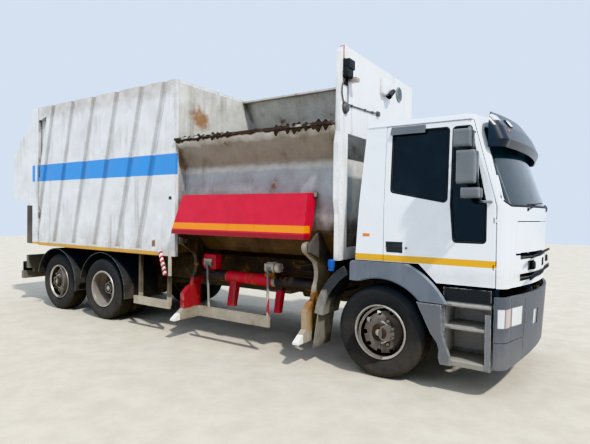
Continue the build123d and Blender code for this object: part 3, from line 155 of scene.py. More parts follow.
def startGroup(name, inputs, outputs):
    group = bpy.data.node_groups.new(name, "ShaderNodeTree")
    for way, sockets in (("INPUT", inputs), ("OUTPUT", outputs)):
        for title, kind in sockets.items():
            group.interface.new_socket(name=title, in_out=way, socket_type="NodeSocket" + kind)
    return group, group.nodes.new("NodeGroupInput").outputs, group.nodes.new("NodeGroupOutput").inputs


def startMaterial(name):
    material = bpy.data.materials.new(name)
    material.use_nodes = True
    tree = material.node_tree
    spot = addNode(tree, "ShaderNodeTexCoord").outputs["Object"]
    return material, tree, tree.nodes["Principled BSDF"].inputs, spot


def noiseOf(tree, vector, scale, detail=4, rough=0.6):
    values = {"Scale": scale, "Detail": detail, "Roughness": rough, "Vector": vector}
    return addNode(tree, "ShaderNodeTexNoise", values).outputs["Fac"]


def rampOf(tree, socket, low, high):
    values = {"From Min": low, "From Max": high, "Value": socket}
    return addNode(tree, "ShaderNodeMapRange", values, interpolation_type="SMOOTHSTEP").outputs["Result"]


def mathOf(tree, operation, first, second):
    return addNode(tree, "ShaderNodeMath", {0: first, 1: second}, operation=operation).outputs[0]


def times(tree, first, second):
    return mathOf(tree, "MULTIPLY", first, second)


def plus(tree, first, second):
    return mathOf(tree, "ADD", first, second)


def vectorOf(tree, operation, first, second):
    return addNode(tree, "ShaderNodeVectorMath", {0: first, 1: second}, operation=operation).outputs[0]


def mixColour(tree, factor, first, second, blend="MIX"):
    values = {0: factor, 6: first, 7: second}
    return addNode(tree, "ShaderNodeMix", values, data_type="RGBA", blend_type=blend).outputs[2]


def makeWeatherGroup():
    group, given, end = startGroup("weather", {"Vector": "Vector", "Streak Scale": "Float"},
        {"Streaks": "Float", "Blotches": "Float", "Grain": "Float", "Dents": "Float"})
    vector = given["Vector"]
    stretched = addNode(group, "ShaderNodeMapping",
        {"Scale": streakStretch, "Vector": vector}).outputs["Vector"]
    streak = noiseOf(group, stretched, given["Streak Scale"], *streakNoise)
    broken = noiseOf(group, vector, *noises["broken"])
    feed(group, end, {
        "Streaks": times(group, rampOf(group, streak, *ramps["streaks"]),
            rampOf(group, broken, *ramps["broken"])),
        "Blotches": noiseOf(group, vector, *noises["blotches"]),
        "Grain": noiseOf(group, vector, *noises["grain"]),
        "Dents": noiseOf(group, vector, *noises["dents"]),
    })
    return group


def makeZoneGroup():
    # a box in the part's own frame, with a soft and ragged edge
    group, given, end = startGroup("zone", {"Vector": "Vector", "Low": "Vector", "High": "Vector",
        "Soft": "Float",
        "Ragged": "Float"}, {"Mask": "Float"})
    ragged = addNode(group, "ShaderNodeTexNoise", {"Scale": 7, "Detail": 7, "Vector": given["Vector"]})
    centred = vectorOf(group, "SUBTRACT", ragged.outputs["Color"], (0.5, 0.5, 0.5))
    moved = addNode(group, "ShaderNodeVectorMath", {0: centred, "Scale": given["Ragged"]}, operation="SCALE")
    spot = vectorOf(group, "ADD", given["Vector"], moved.outputs[0])
    above = vectorOf(group, "SUBTRACT", spot, given["Low"])
    below = vectorOf(group, "SUBTRACT", given["High"], spot)
    parts = addNode(group, "ShaderNodeSeparateXYZ", {0: vectorOf(group, "MINIMUM", above, below)}).outputs
    inner = mathOf(group, "MINIMUM", mathOf(group, "MINIMUM", parts[0], parts[1]), parts[2])
    mask = addNode(group, "ShaderNodeMapRange", {"From Min": 0.0, "From Max": given["Soft"], "Value": inner})
    feed(group, end, {"Mask": mask.outputs["Result"]})
    return group


def makeEdgeGroup():
    # rubbed edges from the bevelled normal, and painted shade in the corners from ambient occlusion
    group, given, end = startGroup("edges", {"Vector": "Vector", "Width": "Float", "Depth": "Float"},
        {"Rubbed": "Float", "Corners": "Float"})
    bevelled = addNode(group, "ShaderNodeBevel", {"Radius": given["Width"]}, samples=4).outputs[0]
    normal = addNode(group, "ShaderNodeNewGeometry").outputs["Normal"]
    dot = addNode(group, "ShaderNodeVectorMath", {0: bevelled, 1: normal},
        operation="DOT_PRODUCT").outputs["Value"]
    chips = rampOf(group, noiseOf(group, given["Vector"], *noises["chips"]), *ramps["chips"])
    shade = addNode(group, "ShaderNodeAmbientOcclusion", {"Distance": given["Depth"]},
        samples=4).outputs["AO"]
    feed(group, end, {"Rubbed": times(group, rampOf(group, dot, *ramps["turned"]), chips),
        "Corners": rampOf(group, shade, *ramps["corners"])})
    return group


weatherGroup = makeWeatherGroup()
zoneGroup = makeZoneGroup()
edgeGroup = makeEdgeGroup()

plainLook = {
    "metallic": 0, "coat": 0, "coatRough": 0.12, "ior": 1.5, "rough": 0.5, "dents": 0.2, "grain": 0.004,
    "streaks": 0, "streakScale": 9, "streakTone": "7b766b", "wear": 0, "wearWidth": 0.012,
    "wearTone": "7d5a44",
    "corners": 0, "cornerDepth": 0.15, "cornerTone": "4b443b", "rust": 0, "rustDark": "4f3223",
    "rustLight": "865a3b", "bump": 0.5, "bumpDepth": 0.05, "grooveSoft": 0.003, "dust": None, "topDust": None,
    "zones": (), "shades": (), "grooves": (),
}


def zoneMask(tree, spot, low, high, soft, ragged):
    values = {"Vector": spot, "Low": place(low), "High": place(high), "Soft": soft, "Ragged": ragged}
    return addNode(tree, "ShaderNodeGroup", values, node_tree=zoneGroup).outputs["Mask"]


def makeFinish(name, look):
    # paint, plastic or metal with its zones, darkened zones, painted shade on groove walls and in corners,
    # streaks, rust, rubbed edges, dust and dents
    look = {**plainLook, **look}
    material, tree, shader, spot = startMaterial(name)
    weather = addNode(tree, "ShaderNodeGroup", node_tree=weatherGroup)
    feed(tree, weather.inputs, {"Streak Scale": look["streakScale"], "Vector": spot})
    blotches, grain = weather.outputs["Blotches"], weather.outputs["Grain"]
    colour = mixColour(tree, rampOf(tree, blotches, *ramps["second"]), tone(look["base"]),
        tone(look["second"]))
    for low, high, code, soft, ragged in look["zones"]:
        colour = mixColour(tree, zoneMask(tree, spot, low, high, soft, ragged), colour, tone(code))
    # darkened zones multiply the colour inside a box; those on the hopper and in the body's grooves are
    # painted shade
    for low, high, amount, soft, ragged, code in look["shades"]:
        shade = times(tree, zoneMask(tree, spot, low, high, soft, ragged), amount)
        colour = mixColour(tree, shade, colour, tone(code), "MULTIPLY")
    normal = addNode(tree, "ShaderNodeNewGeometry").outputs["Normal"]
    facing = addNode(tree, "ShaderNodeSeparateXYZ", {0: normal}).outputs
    # painted shade: the steep walls of grooves, faces turned along X, are darkened inside the zone
    for low, high, amount, code in look["grooves"]:
        steep = rampOf(tree, mathOf(tree, "ABSOLUTE", facing[0], 0.0), *ramps["steep"])
        shadedWalls = times(tree, steep, zoneMask(tree, spot, low, high, look["grooveSoft"], 0.0))
        colour = mixColour(tree, times(tree, shadedWalls, amount), colour, tone(code), "MULTIPLY")
    if look["topDust"]:
        amount, code = look["topDust"]
        settled = times(tree, rampOf(tree, facing[2], *ramps["flat"]),
            rampOf(tree, blotches, *ramps["settled"]))
        colour = mixColour(tree, times(tree, settled, amount), colour, tone(code))
    roughness = plus(tree, times(tree, grain, roughening["grain"]), look["rough"] - roughening["grain"] / 2)
    if look["streaks"]:
        streaks = times(tree, weather.outputs["Streaks"], look["streaks"])
        colour = mixColour(tree, streaks, colour, tone(look["streakTone"]))
        roughness = plus(tree, roughness, times(tree, streaks, roughening["streaks"]))
    height = plus(tree, times(tree, weather.outputs["Dents"], look["dents"]),
        times(tree, grain, look["grain"]))
    if look["wear"] or look["corners"]:
        values = {"Vector": spot, "Width": look["wearWidth"], "Depth": look["cornerDepth"]}
        edges = addNode(tree, "ShaderNodeGroup", values, node_tree=edgeGroup).outputs
        # painted shade: corners found by ambient occlusion are darkened towards the corner tone, broken up by
        # the blotch noise
        if look["corners"]:
            dirt = times(tree, times(tree, edges["Corners"], look["corners"]),
                rampOf(tree, blotches, *ramps["dirt"]))
            colour = mixColour(tree, dirt, colour, tone(look["cornerTone"]))
        if look["wear"]:
            rubbed = times(tree, edges["Rubbed"], look["wear"])
            colour = mixColour(tree, rubbed, colour, tone(look["wearTone"]))
            roughness = plus(tree, roughness, times(tree, rubbed, roughening["wear"]))
    if look["rust"]:
        fine = noiseOf(tree, spot, *noises["rust"])
        spots = rampOf(tree, plus(tree, times(tree, blotches, rustMix[0]), times(tree, fine, rustMix[1])),
            *(start - look["rust"] * fall for start, fall in rustSpread))
        rust = mixColour(tree, rampOf(tree, fine, *ramps["rustTone"]), tone(look["rustDark"]),
            tone(look["rustLight"]))
        colour = mixColour(tree, spots, colour, rust)
        roughness = plus(tree, roughness, times(tree, spots, roughening["rust"]))
        height = plus(tree, height, times(tree, spots, rustDepth))
    if look["dust"]:
        low, high, amount, code = look["dust"]
        level = rampOf(tree, addNode(tree, "ShaderNodeSeparateXYZ", {0: spot}).outputs[2], high, low)
        level = times(tree, times(tree, level, amount), rampOf(tree, blotches, *ramps["dust"]))
        colour = mixColour(tree, level, colour, tone(code))
        roughness = plus(tree, roughness, times(tree, level, roughening["dust"]))
    bump = addNode(tree, "ShaderNodeBump", {"Strength": look["bump"], "Distance": look["bumpDepth"],
        "Height": height})
    feed(tree, shader, {"Metallic": look["metallic"], "Coat Weight": look["coat"],
        "Coat Roughness": look["coatRough"],
        "IOR": look["ior"], "Base Color": colour, "Roughness": roughness,
        "Normal": bump.outputs["Normal"]})
    return material


def bothSides(low, high, *rest):
    # a zone on the right and its mirror on the left
    return (low, high, *rest), ((low[0], -high[1], low[2]), (high[0], -low[1], high[2]), *rest)


dustyRoad = (0.2, 1.3, 0.55, "9b8f7c")
smooth = {"grain": 0.0, "dents": 0.0}
lens = {"rough": 0.15, "coat": 1.0, **smooth}
# wheels carry strong painted shade in their recesses, from ambient occlusion
wheelLook = {"rough": 0.6, "corners": 0.9, "cornerTone": "14110f", "grain": 0.01, "rustLight": "7d5f4a"}
finishes = {
    "cabPaint": {"base": "e6eaee", "second": "e0e4e8", "rough": 0.28, "coat": 0.4, "streaks": 0.05,
        "dents": 0.05,
        "streakTone": "a09b90", "bump": 0.25,
        "zones": [*bothSides((-0.41, -1.3, 1.293), (1.105, -1.0, 1.365), "dca31a", 0.003, 0.004),
            *bothSides((-0.028, -1.3, 1.388), (0.163, -1.12, 1.507), "15171a", 0.002, 0.0),
            ((1.25, -0.855, 1.366), (1.3690, 0.855, 1.436), "101113", 0.001, 0.0),
            ((1.25, -0.855, 1.150), (1.3665, 0.855, 1.222), "101113", 0.001, 0.0),
            ((1.25, -0.665, 1.245), (1.3670, -0.465, 1.345), "101113", 0.001, 0.0),
            ((1.25, -0.10, 1.245), (1.3670, 0.10, 1.345), "101113", 0.001, 0.0),
            ((1.25, 0.465, 1.245), (1.3670, 0.665, 1.345), "101113", 0.001, 0.0)],
        "shades": [((-0.45, -1.3, 1.05), (1.4, 1.3, 1.30), 0.35, 0.14, 0.15, "b5ad9f")]},
    "bodyPaint": {"base": "e4e6e8", "second": "d3d4d4", "streaks": 0.6, "dents": 0.8,
        "bump": 0.6, "rust": 0.2, "wear": 0.8, "corners": 0.5, "cornerTone": "7c6f60",
        "dust": (1.1, 1.7, 0.45, "8f8371"),
        # painted shade on the groove walls of the corrugated sides
        "grooves": [*bothSides((-7.05, -1.4, 1.1), (-3.26, -1.1, 3.75), 0.38, "8f979e")],
        "zones": [*bothSides((-7.03, -1.4, 2.345), (-3.25, -1.2, 2.657), "3a8fdf", 0.006, 0.006),
            *bothSides((-7.20, -1.4, 2.345), (-7.10, -1.2, 2.657), "3a8fdf", 0.006, 0.006),
            *bothSides((-7.3, -1.4, 1.1), (-3.55, -1.2, 1.208), "d69d1c", 0.003, 0.006),
            # painted shade: a dark strip for the shadowed gap between the side and the tailgate
            *bothSides((-6.99, -1.4, 2.42), (-6.925, -1.2, 3.50), "2b2a27", 0.008, 0.03),
            ((-3.40, -1.4, 1.975), (-3.33, -1.2, 2.03), "2a2320", 0.008, 0.02),
            ((-3.77, -1.4, 1.27), (-3.68, -1.2, 1.38), "7a5334", 0.02, 0.06),
            ((-7.5, -1.4, 1.1), (-7.19, 1.4, 1.9), "3a2f29", 0.01, 0.02)],
        # painted shade in the recessed floors of the side grooves; the next entry darkens the body's top with
        # a brown tone
        "shades": [*bothSides((-6.96, -1.246, 1.15), (-3.27, -1.15, 3.74), 0.25, 0.012, 0.0, "a3a9ae"),
            ((-7.0, -1.4, 3.45), (-3.2, 1.4, 3.9), 0.5, 0.2, 0.35, "b39a83")]},
    "hopperPaint": {"base": "d2d1cb", "second": "b9b6ad", "rough": 0.6, "streaks": 0.8, "streakScale": 7,
        "dents": 0.9,
        "bump": 0.6, "rust": 0.42, "wear": 0.9, "corners": 0.8, "cornerDepth": 0.3, "cornerTone": "5a4a3c",
        "streakTone": "6b5b4b", "dust": (1.2, 2.2, 0.7, "6a5848"), "rustLight": "8a6a48",
        "zones": [((-3.4, -0.95, 3.05), (-3.1, -0.55, 3.42), "9a7450", 0.10, 0.4),
            # painted shade: the lower hopper behind the lifter and along the underside is made near-black
            ((-3.4, -1.3, 1.1), (-0.5, -0.4, 1.8), "241d19", 0.25, 0.3),
            ((-3.4, -1.4, 1.1), (-0.5, 1.4, 1.40), "1a1512", 0.1, 0.1),
            ((-3.3, -1.3, 2.80), (-0.6, -1.17, 2.9), "2a221d", 0.012, 0.09)],
        # painted shade under the hopper's ledge: the band and the wall below it, the wall with a bluish tone
        "shades": [((-3.4, -1.35, 2.38), (-0.5, -0.95, 2.80), 0.9, 0.08, 0.1, "a3988c"),
            ((-3.4, -1.35, 1.75), (-0.5, -0.7, 2.42), 1.0, 0.08, 0.1, "ccd4e0")]},
    "platePaint": {"base": "e8e9ea", "second": "d8d9d8", "rough": 0.45, "streaks": 0.5, "dents": 0.5,
        "rust": 0.1, "wear": 0.6, "corners": 0.4, "cornerTone": "8c8172", "dust": (1.1, 1.9, 0.35, "8f8371"),
        "zones": [((-0.7, -1.155, 3.55), (-0.55, -1.10, 3.80), "a3735a", 0.02, 0.05)],
        "shades": [((-0.7, -1.4, 1.2), (-0.55, 1.4, 2.8), 0.3, 0.5, 0.2, "c9bfae")]},
    "redPaint": {"base": "cd1f34", "second": "c0182c", "rough": 0.42, "coat": 0.05, "streaks": 0.15,
        "streakTone": "5a1a16",
        "dents": 0.4, "bump": 0.4, "wear": 0.8, "wearTone": "8c6a5c", "corners": 0.5, "cornerTone": "4a1512",
        "zones": [((-3.3, -1.45, 1.565), (-0.95, -1.2, 1.655), "e58612", 0.004, 0.004),
            ((-3.3, -1.45, 1.4), (-0.95, -1.2, 1.55), "8f1622", 0.01, 0.01)]},
    "beigePaint": {"base": "b3aa98", "second": "998f7e", "rough": 0.6, "rust": 0.35, "wear": 0.7,
        "corners": 0.6,
        "dents": 0.3, "dust": dustyRoad, "streaks": 0.4,
        "zones": [*bothSides((-4.4, -1.3, 0.53), (-2.2, -0.5, 1.2), "39352f", 0.01, 0.02)]},
    "lifterPaint": {"base": "a79e8e", "second": "857b6c", "rough": 0.6, "rust": 0.5, "wear": 1.0,
        "wearTone": "6d4a36",
        "corners": 0.9, "cornerDepth": 0.2, "cornerTone": "2c2520", "dents": 0.3, "streaks": 0.5,
        "rustLight": "8a6440",
        # painted shade: the rear arm's upper part, which stands in shadow, is darkened
        "zones": [((-3.25, -1.4, 0.80), (-2.95, -0.6, 1.6), "2d2925", 0.05, 0.15),
            ((-2.52, -1.04, 0.78), (-1.72, -0.8, 1.03), "b40f1d", 0.004, 0.01),
            ((-3.0, -1.04, 0.80), (-2.52, -0.8, 1.03), "2b2522", 0.006, 0.02),
            ((-2.45, -1.2, 0.50), (-2.30, -0.8, 0.86), "96121d", 0.004, 0.01),
            ((-1.64, -1.2, 0.50), (-1.52, -0.8, 0.86), "96121d", 0.004, 0.01),
            ((-3.25, -1.3, 0.42), (-2.97, -0.85, 0.86), "8f1a20", 0.02, 0.05),
            ((-1.2, -1.3, 0.40), (-0.90, -0.9, 0.86), "a58a68", 0.02, 0.05),
            ((-3.4, -1.5, 0.2), (-0.8, -1.36, 0.46), "e3e1da", 0.01, 0.03),
            ((-1.68, -1.04, 0.78), (-1.05, -0.8, 1.03), "2b2522", 0.02, 0.04),
            ((-2.88, -1.25, 0.55), (-2.58, -1.0, 1.1), "6d6c68", 0.01, 0.02),
            ((-1.76, -1.25, 0.55), (-1.66, -1.0, 1.1), "6d6c68", 0.01, 0.02),
            ((-1.2, -1.3, 0.62), (-0.9, -0.9, 0.86), "94683e", 0.05, 0.12)]},
    "steelPaint": {"base": "6f6e6a", "second": "54514c", "rough": 0.55, "metallic": 0.2, "rust": 0.45,
        "wear": 0.6,
        "corners": 0.8, "cornerTone": "2c2622", "streaks": 0.4, "dust": dustyRoad},
    "framePaint": {"base": "2e2b29", "second": "423c36", "rough": 0.75, "rust": 0.5, "wear": 0.5,
        "corners": 0.7,
        "cornerTone": "16130f", "dust": (0.2, 1.3, 0.35, "8a7e6c")},
    "castIron": {"base": "3c3936", "second": "4d453d", "rough": 0.7, "rust": 0.55, "wear": 0.4,
        "corners": 0.7,
        "cornerTone": "1b1714", "dust": (0.2, 1.3, 0.35, "8a7e6c"), "grain": 0.01},
    "greyPlastic": {"base": "51565e", "second": "484d54", "streaks": 0.25, "streakTone": "7e7c78",
        "wear": 0.6, "wearTone": "8f9194", "corners": 0.5, "cornerTone": "26272a", "grain": 0.006,
        "dents": 0.1, "dust": (0.3, 0.8, 0.45, "86807a")},
    "fenderPlastic": {"base": "666e78", "second": "5a626c", "streaks": 0.4, "streakTone": "85858a",
        "wear": 0.8, "wearTone": "9fa0a0", "corners": 0.5, "cornerTone": "2b2b2c", "grain": 0.006,
        "dents": 0.1, "dust": (0.3, 1.0, 0.4, "8c8680")},
    "darkPlastic": {"base": "26282b", "second": "323437",
        "zones": [*bothSides((-0.94, -1.25, 0.15), (-0.74, -0.6, 0.93), "8b877e", 0.05, 0.1)], "wear": 0.9,
        "wearTone": "85837e",
        "grain": 0.006, "dents": 0.05, "dust": (0.3, 1.2, 0.3, "7c7468")},
    "stepPlastic": {"base": "4b4f53", "second": "55595d", "topDust": (0.85, "a5a199"), "wear": 1.0,
        "wearWidth": 0.022,
        "wearTone": "b1aea7", "grain": 0.006, "dents": 0.05, "dust": (0.3, 1.0, 0.35, "8a8172"),
        # painted light: the inside of the step box, which lies in shadow, is given a lighter colour
        "zones": [*bothSides((0.5, -1.165, 0.28), (1.07, -0.7, 0.925), "b0aca8", 0.02, 0.03),
            *bothSides((0.5, -1.3, 0.28), (1.0, -0.7, 0.40), "8b877f", 0.01, 0.05),
            *bothSides((0.5, -1.3, 0.655), (1.0, -1.15, 0.70), "83817c", 0.006, 0.02),
            *bothSides((0.5, -1.3, 0.885), (1.07, -1.15, 0.93), "8c8a85", 0.006, 0.02),
            *bothSides((0.5, -1.3, 0.935), (1.2, -1.0, 1.2), "16181a", 0.004, 0.0),
            *bothSides((1.005, -1.3, 0.3), (1.2, -1.1, 0.84), "6c7075", 0.004, 0.0),
            *bothSides((0.3, -1.3, 0.28), (0.69, -1.185, 0.915), "5d6166", 0.003, 0.0)]},
    "smokedPlastic": {"base": "08131f", "second": "0c1a2a", "rough": 0.3, "coat": 0.15, "grain": 0.0,
        "dents": 0.03},
    "mirrorPlastic": {"base": "5f6468", "second": "6d7276", "rough": 0.4, "wear": 0.5, "wearTone": "b9babb",
        "grain": 0.004, "dents": 0.05, "streaks": 0.4, "streakTone": "4f5357",
        "zones": [*bothSides((0.9, -1.40, 1.9), (1.2, -1.35, 2.66), "202225", 0.003, 0.0)]},
    "tankMetal": {"base": "8a8a87", "second": "73716c", "metallic": 0.6, "rust": 0.3, "corners": 0.5,
        "dust": dustyRoad, "streaks": 0.4},
    "enginePaint": {"base": "3f4244", "second": "2f2f2e", "rough": 0.7, "rust": 0.4, "corners": 0.8,
        "dust": dustyRoad},
    "rimPaint": {"base": "6f6963", "second": "57514b", **wheelLook, "metallic": 0.1, "rust": 0.28,
        "wear": 0.8,
        "wearTone": "b5aea4", "cornerDepth": 0.08},
    "driveRimPaint": {"base": "8d867e", "second": "716a63", **wheelLook, "rust": 0.25, "wear": 0.9,
        "wearTone": "d8cfbd", "cornerDepth": 0.14},
    "brightSteel": {"base": "c9c6bf", "second": "aaa49a", "rough": 0.4, "metallic": 0.5, "rust": 0.2},
    "nutSteel": {"base": "8a8178", "second": "6b6058", "metallic": 0.4, "rust": 0.35, "rustLight": "7d5f4a"},
    # painted shade: the recessed hub well and nut sockets are made near-black
    "hubDark": {"base": "231f1c", "second": "33291f", "rough": 0.6, "rust": 0.4, "grain": 0.01},
    "tyreRubber": {"base": "262626", "second": "2e2d2d", "rough": 0.8, "corners": 0.5, "cornerTone": "111010",
        "grain": 0.012, "dents": 0.03, "dust": (-0.1, 0.9, 0.35, "6d655a")},
    "rubberSeal": {"base": "141516", "second": "1b1c1d", "rough": 0.6, "dents": 0.0},
    "grilleBlack": {"base": "17181a", "second": "212224", "rough": 0.55, "dents": 0.0,
        "wear": 0.4, "wearTone": "55575a"},
    "lampGlass": {"base": "c6cacc", "second": "d0d2d2", "rough": 0.1, "coat": 1.0, "grain": 0.0,
        "dents": 0.02,
        "zones": [((1.0, -1.3, 0.7), (1.5, -1.135, 0.93), "c9cbce", 0.004, 0.0),
            *bothSides((1.0, -1.145, 0.7), (1.5, -1.03, 0.93), "b29f99", 0.004, 0.0),
            *bothSides((1.0, -1.035, 0.7), (1.5, -1.005, 0.93), "5c6065", 0.003, 0.0),
            *bothSides((1.0, -1.15, 0.7), (1.5, -1.135, 0.93), "6f7276", 0.003, 0.0)]},
    "redLens": {"base": "8f0a12", "second": "a3121a", **lens},
    "amberLens": {"base": "d86a08", "second": "e87a10", **lens},
    "whiteLens": {"base": "f1f1ee", "second": "e2e4e4", **lens},
    "mirrorGlass": {"base": "aab4bc", "second": "b4bdc4", "rough": 0.06, "metallic": 1.0, **smooth},
    "cabLining": {"base": "3c3d3f", "second": "48494c", "rough": 0.8, "grain": 0.01, "dents": 0.05},
    "hosePlastic": {"base": "3d3d3e", "second": "555452", "grain": 0.006, "dents": 0.0,
        "dust": (0.3, 1.6, 0.4, "8a8172")},
    "residue": {"base": "1d1713", "second": "33291f", "rough": 0.95, "grain": 0.08, "dents": 0.4,
        "bump": 1.0},
    "blueCap": {"base": "1450a8", "second": "0f4490", "rough": 0.4, "dents": 0.0, "wear": 0.6,
        "wearTone": "9fb0c4"},
    "shieldPlastic": {"base": "5f6569", "second": "54595d", "rough": 0.35, "grain": 0.002, "dents": 0.02,
        "streaks": 0.3},
    "lensBrown": {"base": "9b8f88", "second": "8a7b72", "rough": 0.25, "coat": 0.8, **smooth},
    "ventGrey": {"base": "7f8b8c", "second": "5e6a6c", "grain": 0.006, "dents": 0.0, "corners": 0.5},
    "motorPaint": {"base": "c5bdb3", "second": "9d9389", "rough": 0.55, "rust": 0.35, "wear": 0.6,
        "corners": 0.6},
    "rustyFitting": {"base": "7d4f2c", "second": "5e3820", "rough": 0.75, "rust": 0.5, "grain": 0.02},
    "lifterRed": {"base": "ac1220", "second": "930d19", "rough": 0.45, "wear": 0.8, "wearTone": "7c5a50",
        "corners": 0.6,
        "dents": 0.3, "dust": (0.3, 1.3, 0.3, "6a5848")},
    "palePaint": {"base": "c9c2b4", "second": "aca493", "rough": 0.6, "rust": 0.25, "streaks": 0.4,
        "wear": 0.6},
    "packerSteel": {"base": "7b756c", "second": "5e564c", "rough": 0.55, "metallic": 0.4, "rust": 0.6,
        "corners": 0.6,
        "wear": 0.6, "dents": 0.6},
}
materials = {name: makeFinish(name, look) for name, look in finishes.items()}


def makeGlass(name, colour, roughness):
    material, tree, shader, spot = startMaterial(name)
    smear = rampOf(tree, noiseOf(tree, spot, *noises["smear"]), *ramps["smear"])
    feed(tree, shader, {"Metallic": 0, "Transmission Weight": 0.75, "IOR": 1.3, "Coat Weight": 0.4,
        "Base Color": mixColour(tree, smear, tone(colour), tone("2a3338")),
        "Roughness": plus(tree, times(tree, smear, 0.12), roughness)})
    return material


def makeCloth(name, code, second):
    material, tree, shader, spot = startMaterial(name)
    weaves = [addNode(tree, "ShaderNodeTexWave", {"Scale": 90, "Distortion": 0.6, "Vector": spot},
        bands_direction=way).outputs["Fac"] for way in ("Y", "DIAGONAL")]
    weave = times(tree, *weaves)
    worn = rampOf(tree, noiseOf(tree, spot, *noises["worn"]), *ramps["worn"])
    colour = mixColour(tree, times(tree, weave, 0.5), tone(code), tone(second))
    bump = addNode(tree, "ShaderNodeBump", {"Strength": 0.4, "Distance": 0.002, "Height": weave})
    feed(tree, shader, {"Sheen Weight": 0.3, "Normal": bump.outputs["Normal"],
        "Base Color": mixColour(tree, times(tree, worn, 0.35), colour, tone("6d675e")),
        "Roughness": plus(tree, times(tree, worn, 0.1), 0.8)})
    return material


def makeStripes(name, first, second):
    # slanted warning stripes
    material, tree, shader, spot = startMaterial(name)
    turned = addNode(tree, "ShaderNodeMapping", {"Rotation": (0, 0.7, 0), "Vector": spot}).outputs["Vector"]
    wave = addNode(tree, "ShaderNodeTexWave", {"Scale": 5.0, "Vector": turned},
        bands_direction="Z").outputs["Fac"]
    worn = rampOf(tree, noiseOf(tree, spot, *noises["scratched"]), *ramps["scratched"])
    colour = mixColour(tree, rampOf(tree, wave, *ramps["stripe"]), tone(first), tone(second))
    feed(tree, shader, {"Base Color": mixColour(tree, worn, colour, tone("8b8378")),
        "Roughness": plus(tree, times(tree, worn, 0.3), 0.35)})
    return material


materials["windowGlass"] = makeGlass("windowGlass", "10161a", 0.03)
materials["screenGlass"] = makeGlass("screenGlass", "4a5a60", 0.03)
materials["seatCloth"] = makeCloth("seatCloth", "2f3a4a", "56606e")
materials["stripedPost"] = makeStripes("stripedPost", "dcdcd8", "b02530")

finishNodes = {
    "framePaint": ("frame_rails", "body_floor"),
    "enginePaint": ("powertrain",),
    "tankMetal": ("tanks",),
    "greyPlastic": ("front_bumper",),
    "lampGlass": ("headlamps",),
    "stepPlastic": ("boarding_steps",),
    "darkPlastic": ("front_mudguards", "rear_mudguards"),
    "beigePaint": ("side_guards",),
    "steelPaint": ("rear_underrun", "lift_base"),
    "bodyPaint": ("body_side_right", "body_side_left", "body_roof", "body_rear_frame", "tailgate"),
    "hopperPaint": ("body_bulkhead", "hopper_tub", "hopper_far_wall"),
    "platePaint": ("front_plate",),
    "redPaint": ("loading_flap",),
    "lifterPaint": ("lift_arms",),
    "packerSteel": ("packer_plate",),
    "cabLining": ("cab_floor", "dashboard"),
    "cabPaint": ("cab_shell", "cab_roof", "cab_front", "cab_lid", "door_right", "door_left"),
    "screenGlass": ("windscreen",),
    "windowGlass": ("door_glass_right", "door_glass_left"),
    "mirrorPlastic": ("mirror_right", "mirror_left"),
    "smokedPlastic": ("sun_visor",),
    "seatCloth": ("seats",),
    "fenderPlastic": ("cab_mudguards",),
    "driveRimPaint": [n for n in nodes if n.startswith("rims_drive")],
    "rimPaint": [n for n in nodes if n.startswith("rim_")],
    "tyreRubber": [n for n in nodes if n.startswith("tyre")],
}
nodeFinish = {name: finish for finish, names in finishNodes.items() for name in names}
for name, node in nodes.items():
    material = materials[nodeFinish.get(name, "castIron")]
    if not node.material_slots:
        node.data.materials.append(material)
    for slot in node.material_slots:
        slot.material = material
print("materials made:", len(materials))


# ways of making a piece
weldGap = 0.00002


def clearSelection():
    if bpy.context.object and bpy.context.object.mode != "OBJECT":
        bpy.ops.object.mode_set(mode="OBJECT")
    bpy.ops.object.select_all(action="DESELECT")


def pickOnly(piece):
    clearSelection()
    piece.select_set(True)
    bpy.context.view_layer.objects.active = piece


def fixPlace(piece):
    pickOnly(piece)
    bpy.ops.object.transform_apply(location=True, rotation=True, scale=True)


def finishPiece(piece, name, finish, body, smoothAngle=35):
    fixPlace(piece)
    piece.name = name
    bpy.ops.object.shade_smooth_by_angle(angle=math.radians(smoothAngle))
    piece.data.materials.clear()
    piece.data.materials.append(materials[finish])
    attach(piece, body)
    return piece


def startEdit(select="SELECT"):
    bpy.ops.object.mode_set(mode="EDIT")
    bpy.ops.mesh.select_all(action=select)


def endEdit():
    bpy.ops.object.mode_set(mode="OBJECT")


def modified(piece, kind, **settings):
    pickOnly(piece)
    modifier = piece.modifiers.new(kind, kind)
    for key, value in settings.items():
        setattr(modifier, key, value)
    bpy.ops.object.modifier_apply(modifier=kind)


def addBlock(low, high, edge=0.005, narrow=None):
    # a block between two corners; narrow = (axis, end, factor) draws in its far or near face
    clearSelection()
    low, high = place(low), place(high)
    middle = (low + high) / 2
    bpy.ops.mesh.primitive_cube_add(size=1, location=middle, scale=[abs(v) for v in high - low])
    block = bpy.context.object
    fixPlace(block)
    if narrow:
        axis, end, factor = narrow
        for vertex in block.data.vertices:
            if (vertex.co[axis] > middle[axis]) == (end > 0):
                for other in range(3):
                    if other != axis:
                        vertex.co[other] = middle[other] + (vertex.co[other] - middle[other]) * factor
    startEdit()
    bpy.ops.mesh.bevel(offset=edge, segments=2, affect="EDGES")
    endEdit()
    return block


